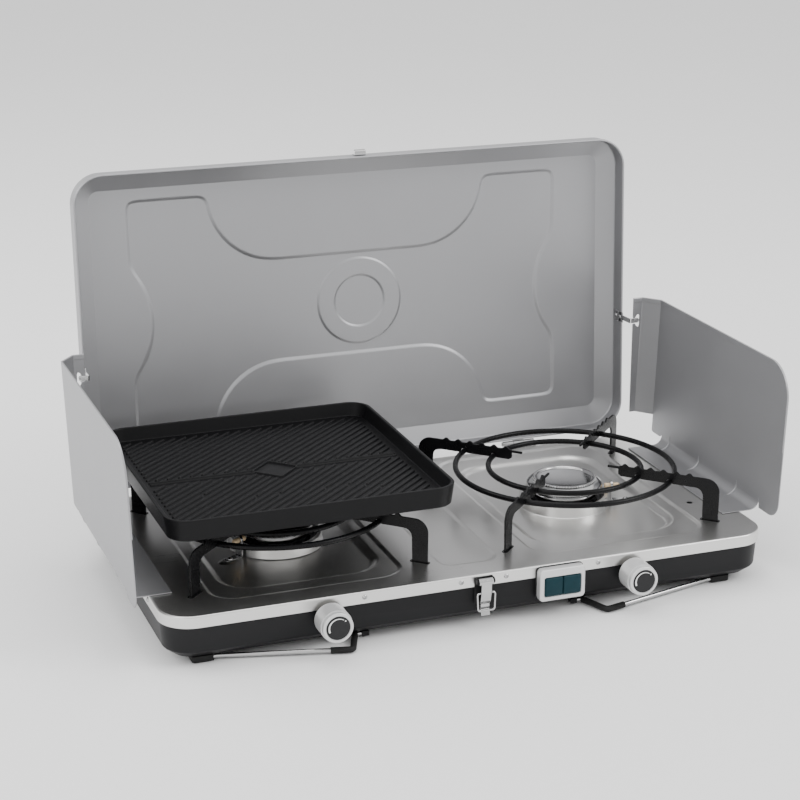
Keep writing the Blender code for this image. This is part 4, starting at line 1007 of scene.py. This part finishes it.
def add_rib(bm, start, end, width=0.0034, height=0.0015):
    """Rib with sloping sides and ends on the griddle's floor."""
    along = (end - start).normalized()
    across = Vector((-along.y, along.x, 0))
    loops = []
    for inset, rise in ((0, -0.0003), (0, 0), (0.0006, height * 0.75), (0.0011, height)):
        loop = []
        for centre, sign in ((start, -1), (end, 1)):
            for a in sweep(math.pi, 6):
                out = along * (sign * math.sin(a)) - across * (sign * math.cos(a))
                spot = centre + out * (width / 2 - inset)
                loop.append(bm.verts.new((spot.x, spot.y, GRIDDLE_FLOOR + rise)))
        loops.append(loop)
    loft(bm, loops)


def build_griddle():
    low, high = GRIDDLE_LOW, GRIDDLE_HIGH
    rim = high.z
    outside = rounded_profile(((0.012, GRIDDLE_UNDER), (0.0064, GRIDDLE_UNDER), (0.0060, 0.1040),
                               (0.0028, 0.1040), (0, rim), (0.0034, rim), (0.0066, GRIDDLE_FLOOR),
                               (0.016, GRIDDLE_FLOOR)), 0.0010)
    bm = bmesh.new()
    add_tray(bm, (low.x, high.x), (low.y, high.y), 0.022, outside, steps=14)
    rest = ARM_TOP + BUMP + GAP
    foot = ((0.0004, rest), (0, rest + 0.0006), (0, GRIDDLE_UNDER + 0.002))
    for angle in ARM_ANGLES.values():
        add_tray(bm, (0.086, 0.126), (-0.005, 0.005), 0.003, foot, around_burner(-1, angle), 5)
    piece("griddle_body", bm, "nonstick", "griddle", ["griddle"])


def build_griddle_ribs():
    """Slanting ribs in two halves, two lines between them and a diamond in the middle."""
    bm = bmesh.new()
    low, high = GRIDDLE_LOW.xy, GRIDDLE_HIGH.xy
    centre = (low + high) / 2
    middle = centre.y
    direction = Vector((math.cos(RIB_ANGLE), math.sin(RIB_ANGLE)))
    normal = Vector((-direction.y, direction.x))
    turn = Matrix.Rotation(math.pi / 4, 2)
    keep = DIAMOND_HALF + 0.0040
    reach = DIAMOND_HALF * math.sqrt(2) - 0.0045
    halves = ((middle + 0.0085, high.y - RIB_MARGIN), (low.y + RIB_MARGIN, middle - 0.0085))
    for row, (y0, y1) in enumerate(halves):
        for k in range(-32, 33):
            point = centre + normal * (RIB_PITCH * k)
            span = clip_line(point, direction, (low.x + RIB_MARGIN, y0), (high.x - RIB_MARGIN, y1))
            if not span:
                continue
            gap = clip_line(turn @ (point - centre), turn @ direction, (-keep, -keep), (keep, keep))
            if not gap and row and k % 2 and span[1] - span[0] > 0.09:
                half = (span[0] + span[1]) / 2
                gap = (half - 0.0035, half + 0.0035)
            gap = gap or (span[1], span[1])
            cuts = [span[0], min(gap[0], span[1]), max(gap[1], span[0]), span[1]]
            for a, b in zip(cuts[::2], cuts[1::2]):
                if b - a > 0.006:
                    add_rib(bm, (point + direction * a).to_3d(), (point + direction * b).to_3d())
    for y in (middle - 0.0026, middle + 0.0026):
        for x0, x1 in ((low.x + RIB_MARGIN, centre.x - reach), (centre.x + reach, high.x - RIB_MARGIN)):
            add_rib(bm, Vector((x0, y, 0)), Vector((x1, y, 0)), 0.0022, 0.0015)
    section = ((0, -0.0003), (0.0004, 0.0012), (0.0007, 0.0015), (0.0015, 0.0015), (0.0018, 0.0012),
               (0.0022, -0.0003))
    diamond = Matrix.Translation((*centre, GRIDDLE_FLOOR)) @ Matrix.Rotation(math.pi / 4, 4, "Z")
    sides = (-DIAMOND_HALF, DIAMOND_HALF)
    loft(bm, [loop_at(bm, rounded_rect(sides, sides, 0.004, 5, inset=inset), height, diamond)
              for inset, height in section], closed=True)
    piece("griddle_ribs", bm, "nonstick", "griddle")


# ---------------------------------------------------------------- controls
def build_knob(name):
    middle = middle_of(f"knob_{name}")
    low, high = stove_box(f"knob_{name}")
    axis = along_y(middle.x, 0, middle.z)
    front, grip = low.y, high.x - middle.x
    face = front + 0.0008
    body = ((0, face), (0.0113, face), (0.0114, front + 0.0002), (0.0117, front), (0.0133, front),
            (0.01385, front + 0.0004), (0.01410, front + 0.0010), (0.01410, front + 0.0044),
            (0.01385, front + 0.0046), (0.01385, front + 0.0051), (grip - 0.0001, front + 0.0053),
            (grip, front + 0.0056), (grip, -0.0052), (grip - 0.0006, -0.0045),
            (0.0041, -0.0045), (0.0041, -0.0160), (0, -0.0160))
    turned_piece(f"knob_body_{name}", body, axis, "knob_plastic", f"knob_{name}", [f"knob_{name}"], 96)
    dial = ((0, face - 0.0003), (0.0094, face - 0.0003), (0.0096, face - 0.0001), (0.0111, face - 0.0001),
            (0.0111, face + 0.0004), (0, face + 0.0004))
    turned_piece(f"knob_dial_{name}", dial, axis, "black_plastic", f"knob_{name}", look=DIAL_DARK)
    build_dial_marks(name, axis, face)


SCALE_RADIUS = 0.0088


def build_dial_marks(name, axis, face):
    """Raised flame scale and pointer dot; angles run anticlockwise from the right, seen from the front."""
    bm = bmesh.new()
    inner, outer = [], []
    for t in sweep(1, 32):
        angle = math.radians(203 - 149 * t)
        width = 0.0012 - 0.0008 * t
        inner += arc(0, 0, SCALE_RADIUS - width, SCALE_RADIUS - width, [angle])
        outer += arc(0, 0, SCALE_RADIUS + width * 0.3, SCALE_RADIUS + width * 0.3, [angle])
    flip = axis @ Matrix.Scale(-1, 4, (0, 1, 0))
    add_prism(bm, inner + outer[::-1], face - 0.0005, face, flip)
    x, y = arc(0, 0, SCALE_RADIUS + 0.0001, SCALE_RADIUS + 0.0001, [math.radians(42)])[0]
    dot = Matrix.Translation((x, y, 0))
    add_turned(bm, ((0, face - 0.0005), (0.0007, face - 0.0005), (0.0007, face), (0, face)), flip @ dot, 20)
    piece(f"knob_scale_{name}", bm, "knob_plastic", f"knob_{name}", look=DIAL_WHITE)


def build_igniter():
    low, high = stove_box("igniter_bezel")
    reach = -low.y
    bm = bmesh.new()
    levels = rounded_profile(((0, 0.0009), (0, reach), (0.004, reach)), 0.0016)
    add_tray(bm, (low.x, high.x), (low.z, high.z), 0.0040, levels, FRONT_UP, steps=10)
    bezel = new_object("bezel", bm, 38)
    window = bmesh.new()
    levels = ((0, -0.01), (0, reach - 0.0006), (-0.0008, reach + 0.0004), (-0.0008, 0.02))
    add_tray(window, *button_window(), 0.0016, levels, FRONT_UP, steps=5)
    cut(bezel, window)
    piece("igniter_frame", bezel, "knob_plastic", "base", ["igniter_bezel"])
    bm = bmesh.new()
    section = rounded_rect((0.0006, 0.0030), (0.0003, 0.0008), 0.0002, 2)
    grown = ((low.x - 0.0014, high.x + 0.0014), (low.z - 0.0014, high.z + 0.0014), 0.0054, 10)
    loft(bm, [loop_at(bm, rounded_rect(*grown, inset=inset), depth, FRONT_UP) for inset, depth in section],
         closed=True)
    piece("igniter_gasket", bm, "black_plastic", "base")
    for name, _ in SIDES:
        low, high = stove_box(f"igniter_button_{name}")
        bm = bmesh.new()
        top = -low.y
        levels = [(0, -high.y), (0, top - 0.0022)]
        levels += arc(0.0022, top - 0.0022, -0.0022, 0.0018, sweep(QUARTER, 6)[1:])
        levels += [(0.0022 + 0.0044 * t, top - 0.0004 + 0.0004 * math.sin(QUARTER * t))
                   for t in (0.15, 0.3, 0.45, 0.6, 0.8, 1.0)]
        add_tray(bm, (low.x, high.x), (low.z, high.z), 0.0018, levels, FRONT_UP, steps=6)
        piece(f"igniter_key_{name}", bm, "button_plastic", f"button_{name}", [f"igniter_button_{name}"])


LATCH_Y = -0.0045
LATCH_Z = 0.0445
LOOP_Z = 0.0345


def build_latch():
    low, high = stove_box("latch_plate")
    half = high.x
    bm = bmesh.new()
    add_tray(bm, (-half, half), (low.z, high.z), 0.0012, ((0, -high.y), (0, 0.0004)), FRONT_UP, steps=5)
    outline = [(0.0004, LATCH_Z + 0.0032), (LATCH_Y, LATCH_Z + 0.0032)]
    outline += arc(LATCH_Y, LATCH_Z + 0.0005, 0.0022, 0.0022,
                   [QUARTER + a for a in sweep(math.pi, 12)[1:-1]])
    outline += [(LATCH_Y, LATCH_Z - 0.0024), (0.0004, LATCH_Z - 0.0044)]
    for x in (-0.0088, 0.0074):
        add_prism(bm, outline, 0, 0.0014, yz_plane(x))
    piece("latch_recess_plate", bm, "black_paint", "base", ["latch_plate"], bevel=0.0003)

    bm = bmesh.new()
    barrel = ((0, -0.0070), (0.0028, -0.0070), (0.0033, -0.0066), (0.0033, 0.0066), (0.0028, 0.0070),
              (0, 0.0070))
    add_turned(bm, barrel, along_x(0, LATCH_Y, LATCH_Z), 48)
    route = ((LATCH_Y - 0.0026, LATCH_Z - 0.0010), (LATCH_Y - 0.0022, LOOP_Z), (LATCH_Y - 0.0004, 0.0262),
             (LATCH_Y + 0.0008, 0.0236))
    add_strip(bm, route, 0.0010, -0.0050, 0.0050, yz_plane(0), 0.0016)
    route = ((LATCH_Y - 0.0001, 0.0256), (LATCH_Y + 0.0011, 0.0228), (LATCH_Y + 0.0011, 0.0168),
             (LATCH_Y - 0.0008, 0.0118))
    add_strip(bm, route, 0.0010, -0.0043, 0.0043, yz_plane(0), 0.0016)
    piece("latch_handle", bm, "chrome", "latch_lever", ["latch_lever"], bevel=0.00025)

    bm = bmesh.new()
    y = LATCH_Y - 0.0018
    route = ((-0.0054, y, LOOP_Z), (-0.0088, y, LOOP_Z), (-0.0080, y - 0.0006, 0.0175),
             (0.0080, y - 0.0006, 0.0175), (0.0088, y, LOOP_Z), (0.0054, y, LOOP_Z))
    add_wire(bm, rounded_path(route, 0.0022, 8), 0.0009, 16)
    piece("latch_bail", bm, "chrome", "latch_loop", ["latch_loop"])


# ---------------------------------------------------------------- legs and feet
WIRE = 0.0021
WIRE_Z = 0.0031
SLEEVE = 0.0029
LEG_AXIS_Y = 0.0160
LEG_CORNER_Y = -0.0140
LEG_CORNER_X = {"left": 0.130, "right": 0.118}
LEG_OUTER_X = {"left": 0.246, "right": 0.2375}


def build_leg(name, side):
    outer, corner = LEG_OUTER_X[name], LEG_CORNER_X[name]
    corners = ((outer + 0.0105, LEG_AXIS_Y), (outer, LEG_AXIS_Y), (corner, LEG_CORNER_Y),
               (corner - 0.012, LEG_AXIS_Y), (corner - 0.0235, LEG_AXIS_Y))
    route = [Vector((side * x, y, WIRE_Z)) for x, y in corners]
    bm = bmesh.new()
    add_wire(bm, rounded_path(route, 0.004, 10), WIRE, 24)
    piece(f"leg_wire_{name}", bm, "chrome", f"leg_{name}", [f"wire_leg_{name}"])
    turn = route[2]
    before = turn + (route[1] - turn).normalized() * 0.020
    after = turn + (route[3] - turn).normalized() * 0.034
    bm = bmesh.new()
    add_wire(bm, rounded_path((before, turn, after), 0.004, 10), SLEEVE, 24, bore=WIRE + 0.00015)
    piece(f"leg_grip_{name}", bm, "rubber", f"leg_{name}", [f"leg_sleeve_{name}"], bevel=0.0002)


def build_feet():
    for name, side in SIDES:
        for row in ("front", "rear"):
            low, high = stove_box(f"foot_{row}_{name}")
            bm = bmesh.new()
            levels = rounded_profile(((0.004, 0), (0, 0), (0, high.z)), 0.0010)
            add_tray(bm, (low.x, high.x), (low.y, high.y), 0.0028, levels, steps=8)
            foot = new_object("foot", bm, 38)
            if row == "front":
                near = side * (LEG_OUTER_X[name] + 0.0030)
                hole = bmesh.new()
                outward = along_x(near, LEG_AXIS_Y, WIRE_Z) @ Matrix.Scale(side, 4, (0, 0, 1))
                add_turned(hole, ((0, -0.002), (0.0024, -0.002), (0.0024, 0.0082), (0, 0.0082)), outward, 24)
                cut(foot, hole)
            piece(f"foot_pad_{row}_{name}", foot, "rubber", "base", [f"foot_{row}_{name}"])


def finish_cad_nodes():
    """Soft edges on the CAD nodes that keep their own shape."""
    paired = ("hinge_base_leaf", "hinge_lid_leaf", "hinge_pin", "leg_clip", "mixing_tube", "gas_valve")
    names = [f"{name}_{side}" for name in paired for side, _ in SIDES]
    for name in names + ["gas_inlet", "gas_manifold", "piezo_unit"]:
        node = frame["nodes"][name]
        node.modifiers.new("weld", "WELD").merge_threshold = 1e-6
        round_edges(node, 0.0002, 40)


build_hob_plate()
build_slot_grommets()
build_pan()
build_lip_screws()
build_burners()
build_lid()
build_lid_hardware()
for side_name, side_sign in SIDES:
    build_windshield(side_name, side_sign)
    build_hem(side_name, side_sign)
    build_gussets(side_name, side_sign)
    build_knob(side_name)
    build_leg(side_name, side_sign)
build_supports()
build_griddle()
build_griddle_ribs()
build_igniter()
build_latch()
build_feet()
finish_cad_nodes()


# ---------------------------------------------------------------- stage
STAGE_LIGHTS = (                     # name, place, size, power
    ("key", (2.0, -1.4, 2.0), 1.4, 44),
    ("fill", (-2.0, -1.2, 1.4), 1.4, 13),
    ("top", (0.0, 0.3, 2.6), 1.8, 22),
    ("side", (-1.9, 1.2, 1.5), 1.6, 34),
)
LIGHT_TARGET = Vector((0, 0, 0.15))
WORLD_STRENGTH = 1.25
CAMERA_PLACE = (-0.6527, -1.539, 0.7599)                    # in stove space
CAMERA_DOWN, CAMERA_TURN = 0.3152, -0.3558
CAMERA_LENS = 90.155


def build_floor():
    floor_mesh = bmesh.new()
    add_tray(floor_mesh, (-9, 9), (-9, 9), 4.0, ((0, -0.02), (0, -0.0005)))
    floor = new_object("floor", floor_mesh, 40)
    floor.data.materials.append(surface("pale_floor", (0.86, 0.86, 0.86), 0.0, 0.75, mottle=0.01,
                                        mottle_size=0.5, grain=0.0, grain_size=0.01))


def build_lights():
    world = bpy.data.worlds.new("studio")
    world.use_nodes = True
    world.node_tree.nodes["Background"].inputs["Color"].default_value = (1, 1, 1, 1)
    world.node_tree.nodes["Background"].inputs["Strength"].default_value = WORLD_STRENGTH
    bpy.context.scene.world = world
    for name, place, size, power in STAGE_LIGHTS:
        light = bpy.data.lights.new(name, "AREA")
        light.size = size
        light.energy = power
        lamp = bpy.data.objects.new(name, light)
        lamp.location = place
        lamp.rotation_euler = (LIGHT_TARGET - Vector(place)).to_track_quat("-Z", "Y").to_euler()
        bpy.context.collection.objects.link(lamp)


def build_camera():
    camera = bpy.data.cameras.new("camera")
    camera.lens = CAMERA_LENS
    camera.sensor_width = 36
    holder = bpy.data.objects.new("camera", camera)
    holder.location = Vector(CAMERA_PLACE) + Vector((0, FRONT_Y, 0))
    holder.rotation_euler = (QUARTER - CAMERA_DOWN, 0, CAMERA_TURN)
    bpy.context.collection.objects.link(holder)
    bpy.context.scene.camera = holder


build_floor()
build_lights()
build_camera()
